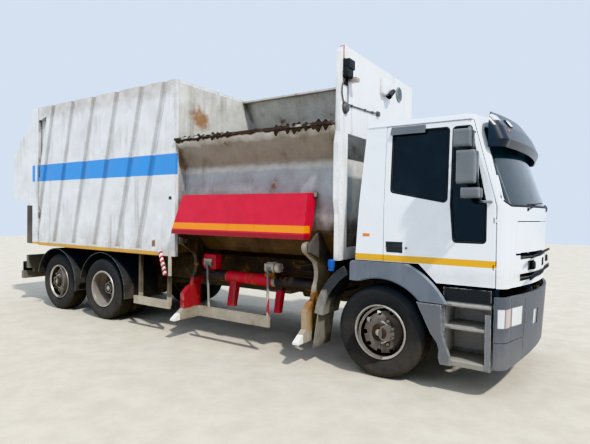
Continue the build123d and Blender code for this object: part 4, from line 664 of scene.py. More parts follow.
def addTurned(profile, centre, direction=(0, 0, 1), steps=32):
    # a chain of (radius, along) points spun round a line
    clearSelection()
    bpy.ops.mesh.primitive_plane_add(size=0.01)
    piece = bpy.context.object
    startEdit()
    bpy.ops.mesh.select_mode(type="VERT")
    bpy.ops.mesh.select_all(action="SELECT")
    bpy.ops.mesh.merge(type="CENTER")
    last = None
    for radius, along in profile:
        point = Vector((radius, 0, along))
        if last is None:
            bpy.ops.transform.translate(value=point)
        else:
            bpy.ops.mesh.extrude_vertices_move(TRANSFORM_OT_translate={"value": point - last})
        last = point
    bpy.ops.mesh.select_all(action="SELECT")
    bpy.ops.mesh.spin(steps=steps, angle=math.tau, center=(0, 0, 0), axis=(0, 0, 1))
    bpy.ops.mesh.select_all(action="SELECT")
    bpy.ops.mesh.remove_doubles(threshold=weldGap)
    bpy.ops.mesh.normals_make_consistent(inside=False)
    endEdit()
    turn = Vector((0, 0, 1)).rotation_difference(Vector(direction)).to_matrix().to_4x4()
    piece.matrix_world = Matrix.Translation(place(centre)) @ turn
    fixPlace(piece)
    return piece


tubeShape = {"order": 3, "resolution": 3}


def addTube(points, radius):
    # a round rod along a smooth curve near the points
    clearSelection()
    data = bpy.data.curves.new("tube", "CURVE")
    data.dimensions = "3D"
    spline = data.splines.new("NURBS")
    spline.points.add(len(points) - 1)
    for index, point in enumerate(points):
        spline.points[index].co = (*place(point), 1)
    spline.use_endpoint_u = True
    spline.order_u = tubeShape["order"]
    data.bevel_depth = radius
    data.bevel_resolution = tubeShape["resolution"]
    data.use_fill_caps = True
    tube = bpy.data.objects.new("tube", data)
    bpy.context.scene.collection.objects.link(tube)
    pickOnly(tube)
    bpy.ops.object.convert(target="MESH")
    return bpy.context.object


def copyOf(piece, change):
    copy = piece.copy()
    copy.data = piece.data.copy()
    bpy.context.scene.collection.objects.link(copy)
    copy.data.transform(change)
    if change.determinant() < 0:
        pickOnly(copy)
        startEdit()
        bpy.ops.mesh.flip_normals()
        endEdit()
    return copy


def joinAll(pieces):
    if len(pieces) == 1:
        return pieces[0]
    clearSelection()
    for piece in pieces:
        piece.select_set(True)
    bpy.context.view_layer.objects.active = pieces[0]
    bpy.ops.object.join()
    return bpy.context.object


mirrorAcross = Matrix.Diagonal((1, -1, 1, 1))
sides = ((-1, "Right"), (1, "Left"))
shapeMakers = {"block": addBlock, "tube": addTube, "turned": addTurned}


def makeFitting(name, finish, body, slot, *shapes):
    # one piece from a list of (kind, values for its maker)
    return finishPiece(joinAll([shapeMakers[kind](*values) for kind, *values in shapes]), name, finish, body)


def around(centre, axis, angle):
    return Matrix.Translation(centre) @ Matrix.Rotation(angle, 4, axis) @ Matrix.Translation(-centre)


# tyres
tyreShape = {
    "radius": 0.507,
    "grooveDepth": 0.013,
    "halfTread": 0.118,
    "ribs": 6,
    "blocks": 60,
    "grooveHalf": 0.0045,
    "under": 0.0012,
    "sag": 0.004,
    "twinStep": 0.1725,
    "wall": ((0.499, 0.124), (0.486, 0.139), (0.470, 0.149), (0.446, 0.1545), (0.420, 0.1548),
        (0.4185, 0.1534),
        (0.4165, 0.1534), (0.415, 0.1545), (0.380, 0.152), (0.352, 0.147), (0.3505, 0.1450), (0.348, 0.1450),
        (0.346, 0.1458), (0.326, 0.141), (0.308, 0.1355), (0.300, 0.1340), (0.2875, 0.1340)),
}


def makeTyre(shape):
    base = shape["radius"] - shape["grooveDepth"]
    half = shape["halfTread"]
    tread = [(base, half - 2 * half * i / shape["ribs"]) for i in range(shape["ribs"] + 1)]
    profile = [*shape["wall"][::-1], *tread, *((r, -a) for r, a in shape["wall"])]
    tyre = addTurned(profile, (-originShift, 0, 0), steps=shape["blocks"])
    startEdit("DESELECT")
    endEdit()
    for face in tyre.data.polygons:
        x, y, z = face.center
        face.select = abs(z) < half and math.hypot(x, y) > base - shape["sag"]
    bpy.ops.object.mode_set(mode="EDIT")
    bpy.ops.mesh.select_mode(type="FACE")
    bpy.ops.mesh.inset(thickness=shape["grooveHalf"], depth=shape["grooveDepth"] - shape["under"],
        use_individual=True)
    endEdit()
    tyre.data.transform(Matrix.Rotation(math.pi / 2, 4, "X"))
    return tyre


def nodeMiddle(name):
    low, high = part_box(name)
    return (low + high) / 2


baseTyre = makeTyre(tyreShape)
for name in [n for n in nodes if n.startswith("tyre")]:
    offsets = (-tyreShape["twinStep"], tyreShape["twinStep"]) if "drive" in name else (0,)
    spots = [nodeMiddle(name) + Vector((0, offset, 0)) for offset in offsets]
    tyre = joinAll([copyOf(baseTyre, Matrix.Translation(spot)) for spot in spots])
    body = "wheel_" + name.split("_", 1)[1]
    finishPiece(tyre, "tread_" + name, "tyreRubber", body, 30)
    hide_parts(name)
bpy.data.objects.remove(baseTyre)
print("tyres made")


# wheel nuts, hub caps and flange rings
wheelTrim = {
    "nutCount": 10,
    "nutRing": 0.156,
    "nutRadius": 0.0165,
    "twinFaceY": 0.897,
    "single": {"face": 0.130, "hub": 0.185, "flange": 0.148},
    "twin": {"face": 0.0, "hub": 0.2125, "flange": 0.3205},
    "nut": ((0, 0.026), (0.55, 0.026), (0.62, 0.020), (0.95, 0.018), (1, 0.016), (1, 0.004), (1.35, 0.003),
        (1.35, -0.004)),
    "socket": ((0.0195, 0.0045), (0.0235, 0.0045), (0.0265, 0.0015), (0.0265, -0.002)),
    "cap": ((0, 0.010), (0.022, 0.009), (0.032, 0.003), (0.038, -0.006), (0.040, -0.014)),
    "well": ((0.038, -0.003), (0.052, 0.0015), (0.068, 0.002), (0.080, -0.003), (0.0885, -0.012),
        (0.0885, -0.045)),
    "ring": ((0.2985, -0.012), (0.3005, -0.004), (0.2975, 0.001), (0.289, 0.001), (0.2775, -0.006),
        (0.2715, -0.020)),
    "groove": ((0.126, 0.001), (0.128, 0.006), (0.121, 0.008), (0.112, 0.010)),
}


def turnedTrim(key, base, steps, out=0.0, share=1):
    # a profile of wheelTrim raised to base, its radii scaled by share
    return addTurned([(r * share, base + a) for r, a in wheelTrim[key]], (-originShift + out, 0, 0),
        steps=steps)


def nutCircle(key, base, steps, share=1):
    first = turnedTrim(key, base, steps, wheelTrim["nutRing"], share)
    count = wheelTrim["nutCount"]
    made = [copyOf(first, Matrix.Rotation(math.tau * (index + 0.5) / count, 4,
        "Z")) for index in range(count)]
    bpy.data.objects.remove(first)
    return made


def makeWheelTrim(name, outward, kind):
    middle = nodeMiddle(name)
    face, hub, flange = (wheelTrim[kind][key] for key in ("face", "hub", "flange"))
    nuts = nutCircle("nut", face, 6, wheelTrim["nutRadius"])
    cap, well = turnedTrim("cap", hub, 32), turnedTrim("well", hub, 40)
    sockets = nutCircle("socket", face, 16)
    ring, groove = turnedTrim("ring", flange, 72), turnedTrim("groove", face, 48)
    turn = Matrix.Rotation(math.pi / 2 if outward < 0 else -math.pi / 2, 4, "X")
    if kind == "twin":
        middle.y = math.copysign(wheelTrim["twinFaceY"], middle.y)
    body = "wheel_" + name.split("_", 1)[1]
    # the hub well and the nut sockets take the near-black finish of painted shade
    for pieces, title, finish in ((nuts, "nuts", "nutSteel"), ([cap], "hubCap", "brightSteel"),
        ([well] + sockets, "hubWell", "hubDark"), ([ring, groove], "flange", "brightSteel")):
        piece = joinAll(pieces)
        piece.data.transform(Matrix.Translation(middle) @ turn)
        finishPiece(piece, title + "_" + name, finish, body, 30)


for name in [n for n in nodes if n.startswith("rim")]:
    makeWheelTrim(name, -1 if nodeMiddle(name).y < 0 else 1, "twin" if "drive" in name else "single")
print("wheel trim made")


# rubber seals round the glass
def makeSeal(nodeName, body, title, radius=0.017):
    copy = nodes[nodeName].copy()
    copy.data = nodes[nodeName].data.copy()
    copy.parent = None
    for key in list(copy.keys()):
        del copy[key]
    bpy.context.scene.collection.objects.link(copy)
    copy.matrix_world = Matrix.Identity(4)
    pickOnly(copy)
    startEdit()
    bpy.ops.mesh.remove_doubles(threshold=0.0001)
    bpy.ops.mesh.select_mode(type="EDGE")
    bpy.ops.mesh.select_all(action="DESELECT")
    bpy.ops.mesh.edges_select_sharp(sharpness=math.radians(50))
    bpy.ops.mesh.select_all(action="INVERT")
    bpy.ops.mesh.delete(type="EDGE_FACE")
    endEdit()
    bpy.ops.object.convert(target="CURVE")
    copy = bpy.context.object
    copy.data.bevel_depth = radius
    copy.data.bevel_resolution = 2
    bpy.ops.object.convert(target="MESH")
    finishPiece(bpy.context.object, title, "rubberSeal", body, 60)


makeSeal("windscreen", "cab", "screenSeal")
makeSeal("door_glass_right", "right_door", "windowSealRight")
makeSeal("door_glass_left", "left_door", "windowSealLeft")
print("seals made")


# cab pieces
cabShape = {
    "noseLow": (1.100, 1.365),
    "noseMiddle": (1.900, 1.385),
    "noseHigh": (2.760, 1.076),
    "sideLow": 1.190,
    "sideHigh": 1.127,
    "waist": 1.9,
    "sideRise": 0.86,
}


def noseX(z):
    low, middle, high = cabShape["noseLow"], cabShape["noseMiddle"], cabShape["noseHigh"]
    first, last = (low, middle) if z < middle[0] else (middle, high)
    return first[1] + (last[1] - first[1]) * (z - first[0]) / (last[0] - first[0])


def cabSideY(z):
    rise = max(0, z - cabShape["waist"]) / cabShape["sideRise"]
    return cabShape["sideLow"] + (cabShape["sideHigh"] - cabShape["sideLow"]) * rise


grille = {
    "slots": ((1.378, 1.404, 0.835), (1.164, 1.209, 0.835)),
    "squares": (-0.565, 0.0, 0.565),
    "squareZ": (1.256, 1.334),
    "squareHalf": 0.088,
    "depth": 0.024,
    "barPitch": 0.012,
}


def grilleBar(x, deep, left, low, right, high, edge=0.0008):
    return addBlock((x, left, low), (x + deep, right, high), edge)


def makeGrille(shape):
    openings = [(low, high, -half, half) for low, high, half in shape["slots"]]
    openings += [(*shape["squareZ"], y - shape["squareHalf"],
        y + shape["squareHalf"]) for y in shape["squares"]]
    made = []
    for low, high, left, right in openings:
        x = noseX(low) - shape["depth"]
        made.append(grilleBar(x, 0.004, left, low, right, high, 0.001))
        z = low + shape["barPitch"] / 2
        while z < high:
            made.append(grilleBar(x + 0.002, 0.015, left, z - 0.0018, right, z + 0.0018))
            z += shape["barPitch"]
        count = max(2, int((right - left) / 0.09))
        for index in range(1, count):
            y = left + (right - left) * index / count
            made.append(grilleBar(x + 0.002, 0.012, y - 0.002, low, y + 0.002, high))
    finishPiece(joinAll(made), "grilleBars", "grilleBlack", "cab")


makeGrille(grille)

wiperShape = {
    "pivots": ((-0.72, 1), (0.08, 1)),
    "pivotZ": 1.868,
    "bladeLength": 0.60,
    "bladeZ": (1.918, 1.945),
    "reach": 0.34,
    "knob": ((0, 0.012), (0.011, 0.011), (0.015, 0.008), (0.015, 0.002), (0.022, 0.0), (0.022, -0.006)),
}


def onScreen(y, z, out):
    # a point on the bowed front of the cab, found by a ray from ahead
    faces = []
    for name in ("windscreen", "cab_front", "cab_lid"):
        found, spot, normal, index = nodes[name].ray_cast(Vector((9, y, z)), Vector((-1, 0, 0)))
        if found:
            faces.append(spot.x - originShift)
    return (max(faces or [noseX(z)]) + out, y, z)


def makeWiper(index, y, side):
    pivotZ, half = wiperShape["pivotZ"], wiperShape["bladeLength"] / 2
    pivot = onScreen(y, pivotZ, 0.0)
    reach = y + side * wiperShape["reach"]
    middleZ = sum(wiperShape["bladeZ"]) / 2
    lowZ, highZ = wiperShape["bladeZ"][::side]
    makeFitting("wiper" + str(index), "rubberSeal", "cab", "dark_plastic",
        ("turned", wiperShape["knob"], pivot, (1, 0, 0.1), 20),
        ("tube", [onScreen(y, pivotZ, 0.006), onScreen(y + side * 0.08, 1.885, 0.011),
            onScreen(reach - side * 0.1, middleZ - 0.01, 0.013), onScreen(reach, middleZ, 0.012)], 0.0055),
        ("tube", [onScreen(reach - half, lowZ, 0.007), onScreen(reach, middleZ, 0.008),
            onScreen(reach + half, highZ, 0.007)], 0.005),
        ("tube", [onScreen(reach - half * 0.6, middleZ + side * -0.012, 0.009),
            onScreen(reach, middleZ, 0.016),
            onScreen(reach + half * 0.6, middleZ + side * 0.012, 0.009)], 0.0035))


for index, (y, side) in enumerate(wiperShape["pivots"]):
    makeWiper(index, y, side)

roofTrim = {
    "gutterZ": 2.764,
    "gutterRadius": 0.009,
    "hatch": ((0.02, -0.31, 2.812), (0.58, 0.31, 2.850)),
    "hatchRim": ((-0.01, -0.34, 2.812), (0.61, 0.34, 2.826)),
}
for side, title in sides:
    y = side * (cabSideY(2.76) + 0.001)
    gutter = addTube([(-0.27, y, roofTrim["gutterZ"]), (0.3, y, roofTrim["gutterZ"]),
        (0.845, y, roofTrim["gutterZ"])],
        roofTrim["gutterRadius"])
    finishPiece(gutter, "gutter" + title, "cabPaint", "cab")

roofPanelShape = {
    "centre": (0.35, 0.0, 2.786),
    "points": 144,
    "lap": 0.012,
    "top": 2.809,
    "thick": 0.022,
    "beadY": (-0.78, -0.56, 0.56, 0.78),
    "beadX": (-0.20, 0.78),
}


def makeRoofPanel(shape):
    # fills the roof's frame: its outline is found by rays from the middle out to the frame's inner wall
    clearSelection()
    centre = place(shape["centre"])
    bpy.ops.mesh.primitive_circle_add(vertices=shape["points"], radius=1, fill_type="NGON",
        location=(0, 0, 0))
    panel = bpy.context.object
    for vertex in panel.data.vertices:
        aim = Vector((vertex.co.x, vertex.co.y, 0)).normalized()
        found, spot, normal, index = nodes["cab_roof"].ray_cast(centre, aim)
        reach = (spot - centre).length if found else 0.9
        vertex.co = centre + aim * (reach + shape["lap"])
        vertex.co.z = shape["top"]
    modified(panel, "SOLIDIFY", thickness=shape["thick"], offset=-1)
    beads = [addBlock((shape["beadX"][0], y - 0.03, shape["top"] - 0.01),
        (shape["beadX"][1], y + 0.03, shape["top"] + 0.007), 0.006)
        for y in shape["beadY"]]
    finishPiece(joinAll([panel] + beads), "roofPanel", "cabPaint", "cab")


makeRoofPanel(roofPanelShape)
rim = addBlock(*roofTrim["hatchRim"], 0.006)
cover = addBlock(*roofTrim["hatch"], 0.018, (2, 1, 0.9))
finishPiece(joinAll([rim, cover]), "roofHatch", "cabPaint", "cab")

# rain shield over the door window, its curved strip standing off the door
shieldShape = {"x": (0.0, 0.376), "z": (2.655, 2.742), "out": (0.004, 0.030)}


def makeShield(side, title, body):
    low, high = shieldShape["z"]
    x0, x1 = shieldShape["x"]
    yLow, yHigh = cabSideY(low) + shieldShape["out"][1], cabSideY(high) + shieldShape["out"][0]
    inner = cabSideY(low) - 0.002
    shield = addBlock((x0, min(side * inner, side * yLow), low), (x1, max(side * inner, side * yLow), high),
        0.006)
    for vertex in shield.data.vertices:
        rise = (vertex.co.z - low) / (high - low)
        if abs(vertex.co.y) > inner + 0.01:
            vertex.co.y = side * (yLow + (yHigh - yLow) * rise)
        else:
            vertex.co.y = side * (inner + (cabSideY(high) - 0.002 - inner) * rise)
    finishPiece(shield, "rainShield" + title, "shieldPlastic", body)


makeShield(-1, "Right", "right_door")
makeShield(1, "Left", "left_door")

# marker lamps on the visor
visorLamps = {
    "lean": 0.66,
    "swing": -0.20,
    "corner": {"spot": (1.030, -1.030, 2.758), "size": (0.036, 0.150, 0.080)},
    "front": {"spot": (1.118, -0.800, 2.728), "size": (0.030, 0.070, 0.085)},
    "frontFrame": {"spot": (1.112, -0.795, 2.730), "size": (0.030, 0.100, 0.105)},
    "dot": (1.143, -0.930, 2.640),
}


def makeVisorLamp(kind):
    x, y, z = visorLamps[kind]["spot"]
    deep, wide, high = (v / 2 for v in visorLamps[kind]["size"])
    lamp = addBlock((x - deep, y - wide, z - high), (x + deep, y + wide, z + high), min(wide, high) * 0.35)
    lamp.data.transform(around(place((x, y, z)), "Z", visorLamps["swing"]) @ around(place((x, y, z)), "Y",
        -visorLamps["lean"]))
    return lamp


for side, title in sides:
    lenses = joinAll([makeVisorLamp("corner"), makeVisorLamp("front")])
    holder = makeVisorLamp("frontFrame")
    dot = addTurned([(0, 0.010), (0.009, 0.008), (0.013, 0), (0.013, -0.010)], visorLamps["dot"],
        (0.9, -0.18, 0.39), 16)
    for piece, name, finish, slot in ((lenses, "markerLamps", "whiteLens", "lamp"),
        (holder, "markerHolder", "rubberSeal", "dark_plastic"),
        (dot, "amberDot", "amberLens", "lamp")):
        if side > 0:
            turned = copyOf(piece, mirrorAcross)
            bpy.data.objects.remove(piece)
            piece = turned
        finishPiece(piece, name + title, finish, "cab")

# mirror glass on the back of each housing, door lock and the amber repeater behind the door
mirrorPlates = ((2.440, 2.610, 0.7555), (2.095, 2.410, 0.7845), (1.960, 2.060, 0.8273))
lockShape = ((0, 0.006), (0.007, 0.006), (0.009, 0.004), (0.013, 0.004), (0.014, 0))
doorBodies = {"Right": "right_door", "Left": "left_door"}
for side, title in sides:
    plateY = side * 1.375
    plates = [("block", (x - 0.0035, plateY - 0.080 + side * 0.01, low + 0.014),
        (x + 0.004, plateY + 0.080 + side * 0.01, high - 0.014), 0.0015) for low, high, x in mirrorPlates]
    makeFitting("mirrorGlass" + title, "mirrorGlass", doorBodies[title], "glass", *plates)
for side, title in sides:
    makeFitting("doorLock" + title, "nutSteel", doorBodies[title], "cast",
        ("turned", lockShape, (0.205, side * 1.1905, 1.445), (0, side, 0), 20))
    makeFitting("repeater" + title, "amberLens", "cab", "lamp",
        ("block", (-0.300, side * 1.1895 - 0.004, 1.555), (-0.215, side * 1.1895 + 0.014, 1.590), 0.005))
print("cab pieces made")

# fittings on the front plate
plateFace = -0.600
ahead = (1, 0, 0)


def onPlate(x, y, z):
    return plateFace + x, y, z


boltShape = ((0, 0.007), (0.009, 0.006), (0.011, 0.003), (0.011, -0.001))
plateFittings = {
    "workLampBody": ("rubberSeal", "dark_plastic",
        ("block", onPlate(-0.002, -1.150, 3.475), onPlate(0.085, -1.000, 3.585), 0.006),
        ("block", onPlate(0.01, -1.165, 3.375), onPlate(0.075, -1.02, 3.478), 0.010),
        ("block", onPlate(-0.002, -1.13, 3.30), onPlate(0.012, -1.03, 3.60), 0.003)),
    "workLampLens": ("lensBrown", "lamp",
        ("block", onPlate(0.020, -1.045, 3.340), onPlate(0.120, -0.930, 3.400), 0.012, (0, 1, 0.85))),
    "junctionBox": ("hosePlastic", "dark_plastic",
        ("turned", ((0, 0.042), (0.038, 0.040), (0.052, 0.034), (0.058, 0.022), (0.066, 0.016),
            (0.066, 0.006), (0.074, 0.004), (0.074, -0.002)), onPlate(0, -1.085, 3.035), ahead, 28)),
    "plateCables": ("hosePlastic", "dark_plastic",
        ("tube", [onPlate(0.03, -1.130, 3.385), onPlate(0.012, -1.175, 3.300), onPlate(0.012, -1.185, 3.190),
            onPlate(0.012, -1.150, 3.100), onPlate(0.02, -1.100, 3.050)], 0.008),
        ("tube", [onPlate(0.02, -1.060, 3.085), onPlate(0.010, -0.930, 3.085), onPlate(0.010, -0.700, 3.100),
            onPlate(0.010, -0.420, 3.110), onPlate(0.018, -0.160, 3.135)], 0.008),
        ("tube", [onPlate(0.02, -1.050, 3.07), onPlate(0.014, -1.03, 3.20), onPlate(0.014, -1.045, 3.31)],
            0.006),
        ("block", onPlate(-0.002, -0.205, 3.100), onPlate(0.030, -0.130, 3.160), 0.005),
        *(("block", onPlate(-0.002, y - 0.012, z - 0.016), onPlate(0.022, y + 0.012, z + 0.016), 0.003)
            for y, z in ((-0.93, 3.085), (-0.56, 3.106), (-0.34, 3.118)))),
    "beaconBox": ("platePaint", "white_paint",
        ("block", onPlate(-0.002, -0.10, 3.42), onPlate(0.060, 0.245, 3.62), 0.010)),
    "beacon": ("rubberSeal", "dark_plastic",
        ("turned", ((0, 0.16), (0.020, 0.158), (0.030, 0.150), (0.034, 0.13), (0.034, 0.02), (0.040, 0.015),
            (0.040, 0.0)), onPlate(0.075, 0.035, 3.395), (0.15, 0.72, 0.62), 24)),
    "roundVent": ("ventGrey", "grey_plastic",
        ("turned", ((0, 0.010), (0.030, 0.012), (0.082, 0.013), (0.090, 0.018), (0.102, 0.018),
            (0.106, 0.012), (0.106, -0.002)), onPlate(0, 0.570, 3.545), ahead, 40)),
    "roundVentBars": ("hosePlastic", "dark_plastic",
        *(("block", onPlate(0.006, 0.505, 3.480 + 0.026 * i), onPlate(0.018, 0.635, 3.486 + 0.026 * i),
            0.002) for i in range(6))),
    "plateBolts": ("platePaint", "white_paint",
        *(("turned", boltShape, onPlate(0, y, 1.42 + index * 0.25), ahead, 6)
            for y in (-1.14, 1.14) for index in range(9))),
    "blueCap": ("blueCap", "dark_plastic",
        ("turned", ((0, 0.055), (0.022, 0.054), (0.036, 0.048), (0.040, 0.038), (0.040, -0.030),
            (0.034, -0.036), (0.034, -0.075), (0, -0.075)), (-0.655, -1.262, 1.225), (0, 0, 1), 28)),
}
for name, (finish, slot, *shapes) in plateFittings.items():
    makeFitting(name, finish, "chassis", slot, *shapes)
print("plate fittings made")

# hopper residue, hoses and the post at the body's corner
residueShape = {
    "strips": (((-3.09, -1.290, 2.852), (-2.20, -1.19, 2.895), 0.085),
        ((-1.47, -1.292, 2.850), (-0.68, -1.18, 2.905), 0.120)),
    "lip": 0.2,
    "thick": 0.012,
}


def makeResidue(index, low, high, drop):
    clearSelection()
    low, high = place(low), place(high)
    bpy.ops.mesh.primitive_grid_add(x_subdivisions=90, y_subdivisions=8, size=1, location=(low + high) / 2)
    heap = bpy.context.object
    heap.scale = (high.x - low.x, high.y - low.y, 1)
    fixPlace(heap)
    for vertex in heap.data.vertices:
        x, y = vertex.co.x, vertex.co.y
        ragged = math.sin(x * 31.7 + index) * math.sin(x * 13.1 + 2) + 0.6 * math.sin(x * 71.3 + y * 40)
        across = (y - low.y) / (high.y - low.y)
        vertex.co.z = low.z + (high.z - low.z) * max(0.0,
            0.45 + 0.4 * ragged) * math.sin(math.pi * min(1, across + 0.15))
        if across < residueShape["lip"]:
            vertex.co.z -= drop * max(0.25, 0.55 + 0.45 * ragged) * (1 - across / residueShape["lip"])
    modified(heap, "SOLIDIFY", thickness=residueShape["thick"])
    finishPiece(heap, "residue" + str(index), "residue", "chassis", 60)


for index, (low, high, drop) in enumerate(residueShape["strips"]):
    makeResidue(index, low, high, drop)

hoseRuns = (
    ((-1.10, -0.72, 1.22), (-1.15, -0.92, 1.16), (-1.28, -1.02, 1.10), (-1.45, -0.99, 1.09)),
    ((-1.10, -0.70, 1.16), (-1.12, -0.88, 1.06), (-1.25, -0.98, 1.00), (-1.45, -0.96, 1.03)),
    ((-1.04, -0.66, 1.10), (-1.05, -0.86, 0.98), (-1.15, -0.96, 0.93), (-1.38, -0.93, 0.95)),
)
makeFitting("baseHoses", "hosePlastic", "chassis", "dark_plastic",
    *(("tube", [(x, y + 0.25, z + 0.02) for x, y, z in run], 0.013) for run in hoseRuns))

# motor with its rusty fitting on the torque tube
motorShape = ((0, 0.0), (0.050, 0.0), (0.066, 0.012), (0.070, 0.025), (0.070, 0.120), (0.078, 0.122),
    (0.078, 0.142),
    (0.066, 0.146), (0.066, 0.205), (0.058, 0.222), (0.030, 0.228), (0, 0.228))
unionShape = ((0, 0.03), (0.022, 0.03), (0.026, 0.024), (0.026, 0))
boltAngles = [math.tau * index / 6 for index in range(6)]
makeFitting("tippingMotor", "motorPaint", "lifter", "beige_paint",
    ("turned", motorShape, (-1.80, -0.955, 1.085), ahead, 32),
    *(("turned", ((0, 0.01), (0.009, 0.009), (0.010, 0)),
        (-1.572, -0.955 + 0.048 * math.cos(angle), 1.085 + 0.048 * math.sin(angle)), ahead, 6)
        for angle in boltAngles))
makeFitting("motorFitting", "rustyFitting", "lifter", "beige_paint",
    ("block", (-1.79, -1.010, 0.955), (-1.66, -0.900, 1.035), 0.008),
    ("turned", unionShape, (-1.70, -1.010, 0.995), (0, -1, 0), 8),
    ("turned", unionShape, (-1.76, -1.010, 0.985), (0, -1, 0), 8))
makeFitting("rotorBlock", "lifterRed", "lifter", "red_paint",
    ("block", (-2.92, -1.005, 0.985), (-2.68, -0.875, 1.20), 0.012),
    ("block", (-2.96, -0.99, 1.02), (-2.91, -0.89, 1.14), 0.008))

post = addBlock((-3.525, -1.285, 0.855), (-3.475, -1.252, 1.240), 0.004)
post.data.transform(around(place((-3.5, -1.27, 1.05)), "Y", -0.32))
finishPiece(post, "stripedPost", "stripedPost", "chassis")
makeFitting("palePost", "palePaint", "chassis", "white_paint",
    ("block", (-3.395, -1.255, 0.86), (-3.345, -1.225, 1.235), 0.004))
print("hopper and lifter pieces made")

# rear end: lamps and reflectors
rearFace = -7.790
tailLenses = (("redLens", 0.00), ("amberLens", 0.14), ("whiteLens", 0.28))
reflectorShape = ((0, 0.006), (0.034, 0.005), (0.040, 0.0), (0.040, -0.004))


def sideBlock(side, x, inner, outer, z, *rest):
    # a block between two distances from the middle, on one side
    left, right = sorted((side * inner, side * outer))
    return ("block", (x[0], left, z[0]), (x[1], right, z[1]), *rest)


for side, title in sides:
    makeFitting("tailLampBody" + title, "rubberSeal", "chassis", "dark_plastic",
        sideBlock(side, (rearFace - 0.012, rearFace + 0.02), 0.66, 1.12, (0.60, 0.78), 0.008))
    for finish, shift in tailLenses:
        makeFitting(finish + "Tail" + title, finish, "chassis", "lamp",
            sideBlock(side, (rearFace - 0.034, rearFace - 0.008), 1.105 - shift, 1.105 - shift - 0.13,
                (0.615, 0.765), 0.012, (0, -1, 0.94)))
    makeFitting("rearReflector" + title, "redLens", "chassis", "lamp",
        ("turned", reflectorShape, (rearFace - 0.001, side * 0.5, 0.86), (-1, 0, 0), 24))

# latches and a handle on the tailgate, and its upper lamps
gateSpots = {"latchZ": (1.32, 1.72), "halfWidth": 1.2495}
latchKnob = ((0, 0.03), (0.022, 0.028), (0.026, 0.02), (0.026, 0))
for side, title in sides:
    latches = []
    for z in gateSpots["latchZ"]:
        latches.append(addBlock((-7.08, side * 1.243 - 0.012, z - 0.05),
            (-6.96, side * 1.243 + 0.012, z + 0.05), 0.006))
        latches.append(addTurned(latchKnob, (-7.02, side * 1.225, z), (0, side, 0), 16))
    for vertex in [vertex for piece in latches for vertex in piece.data.vertices]:
        vertex.co.y = max(-gateSpots["halfWidth"], min(gateSpots["halfWidth"], vertex.co.y))
    finishPiece(joinAll(latches), "gateLatches" + title, "steelPaint", "gate")
    makeFitting("highLamp" + title, "redLens", "gate", "lamp",
        ("block", (-7.282, side * 1.0 - 0.06, 3.50), (-7.20, side * 1.0 + 0.06, 3.60), 0.01))
makeFitting("gateHandle", "steelPaint", "gate", "cast",
    ("tube", [(-7.40, -0.62, 1.55), (-7.47, -0.62, 1.56), (-7.47, 0, 1.56), (-7.47, 0.62, 1.56),
        (-7.40, 0.62, 1.55)], 0.014))
print("rear pieces made")

# tank straps and cap
makeFitting("tankStraps", "steelPaint", "chassis", "tank",
    *(("block", (x - 0.025, 1.146, 0.46), (x + 0.025, 1.156, 0.98), 0.003) for x in (-3.6, -3.0, -2.4, -1.8,
        -1.3)))
makeFitting("tankCap", "rubberSeal", "chassis", "dark_plastic",
    ("turned", ((0, 0.03), (0.045, 0.028), (0.055, 0.018), (0.055, 0.0), (0.062, -0.004)),
        (-1.55, 1.05, 0.995),
        (0, 0, 1), 24))

# seats
seatShape = {
    "cushion": ((-0.03, -0.935, 1.585), (0.405, -0.505, 1.675)),
    "back": ((-0.02, -0.925, 1.62), (0.06, -0.515, 2.14)),
    "rest": ((0.0, -0.85, 2.18), (0.055, -0.59, 2.315)),
    "backLean": -0.19,
    "voxel": 0.006,
    "cap": 0.018,
    "pressure": 4.0,
    "frames": 20,
    "backRise": 0.71,
    "channelY": (-0.82, -0.62),
}


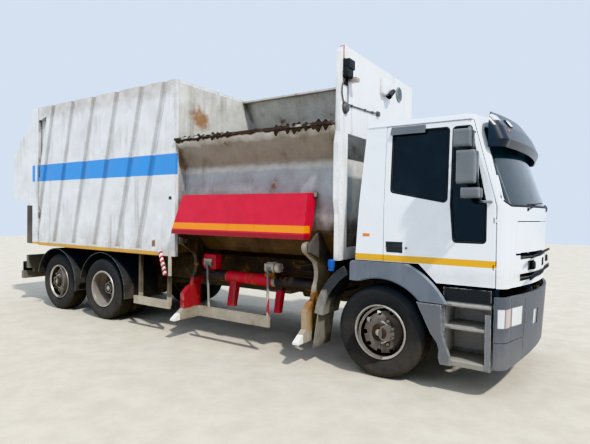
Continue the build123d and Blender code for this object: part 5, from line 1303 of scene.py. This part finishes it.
def padFrom(block, shape):
    modified(block, "REMESH", mode="VOXEL", voxel_size=shape["voxel"] * 1)
    starts = [v.co.copy() for v in block.data.vertices]
    cloth = block.modifiers.new("cloth", "CLOTH")
    cloth.settings.use_pressure = True
    cloth.settings.uniform_pressure_force = shape["pressure"]
    cloth.settings.effector_weights.gravity = 0
    scene = bpy.context.scene
    for number in range(1, shape["frames"] + 1):
        scene.frame_set(number)
    bpy.ops.object.modifier_apply(modifier="cloth")
    for vertex, start in zip(block.data.vertices, starts):
        moved = vertex.co - start
        if moved.length > shape["cap"]:
            vertex.co = start + moved.normalized() * shape["cap"]
    scene.frame_set(1)
    modified(block, "SMOOTH", iterations=4)
    return block


def leanBack(piece, shape):
    low = shape["back"][0][2]
    for vertex in piece.data.vertices:
        vertex.co.x += shape["backLean"] * max(0, vertex.co.z - low) / shape["backRise"]
    return piece


def channelled(piece, axis, places, width, depth, front):
    # sewn channels pressed into the face that looks along front
    for vertex in piece.data.vertices:
        for spot in places:
            near = abs(vertex.co[axis] - spot) / width
            if near < 1:
                vertex.co -= Vector(front) * depth * (1 - near * near) ** 2
    return piece


def makeSeats(shape):
    cushion = addBlock(*shape["cushion"], 0.02)
    back = leanBack(addBlock(*shape["back"], 0.02), shape)
    rest = leanBack(addBlock(*shape["rest"], 0.018), shape)
    pads = [padFrom(piece, shape) for piece in (cushion, back, rest)]
    channelled(pads[0], 1, shape["channelY"], 0.012, 0.010, (0, 0, 1))
    channelled(pads[1], 1, shape["channelY"], 0.012, 0.010, (1, 0, 0))
    seat = joinAll(pads)
    box = [addBlock((0.0, -0.90, 1.35), (0.38, -0.56, 1.57), 0.012, (2, -1, 0.92)),
        addBlock((-0.03, -0.92, 1.562), (0.41, -0.52, 1.592), 0.008),
        addBlock((-0.045, -0.955, 1.60), (0.05, -0.935, 1.70), 0.006)]
    stand = joinAll(box)
    for side, title in sides:
        pad = seat if side < 0 else copyOf(seat, mirrorAcross)
        foot = stand if side < 0 else copyOf(stand, mirrorAcross)
        finishPiece(pad, "seatPad" + title, "seatCloth", "cab", 60)
        finishPiece(foot, "seatStand" + title, "cabLining", "cab")
        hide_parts("seats")


makeSeats(seatShape)
print("seats made")

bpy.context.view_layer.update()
bpy.ops.mesh.primitive_plane_add(size=60)
floorPlane = bpy.context.object
floorPlane.name = "floor"
materials["floor"] = makeFinish("floor", {"base": "c9c2b4", "second": "bdb5a6", "rough": 0.9, "grain": 0.01,
    "dents": 0.05})
floorPlane.data.materials.append(materials["floor"])
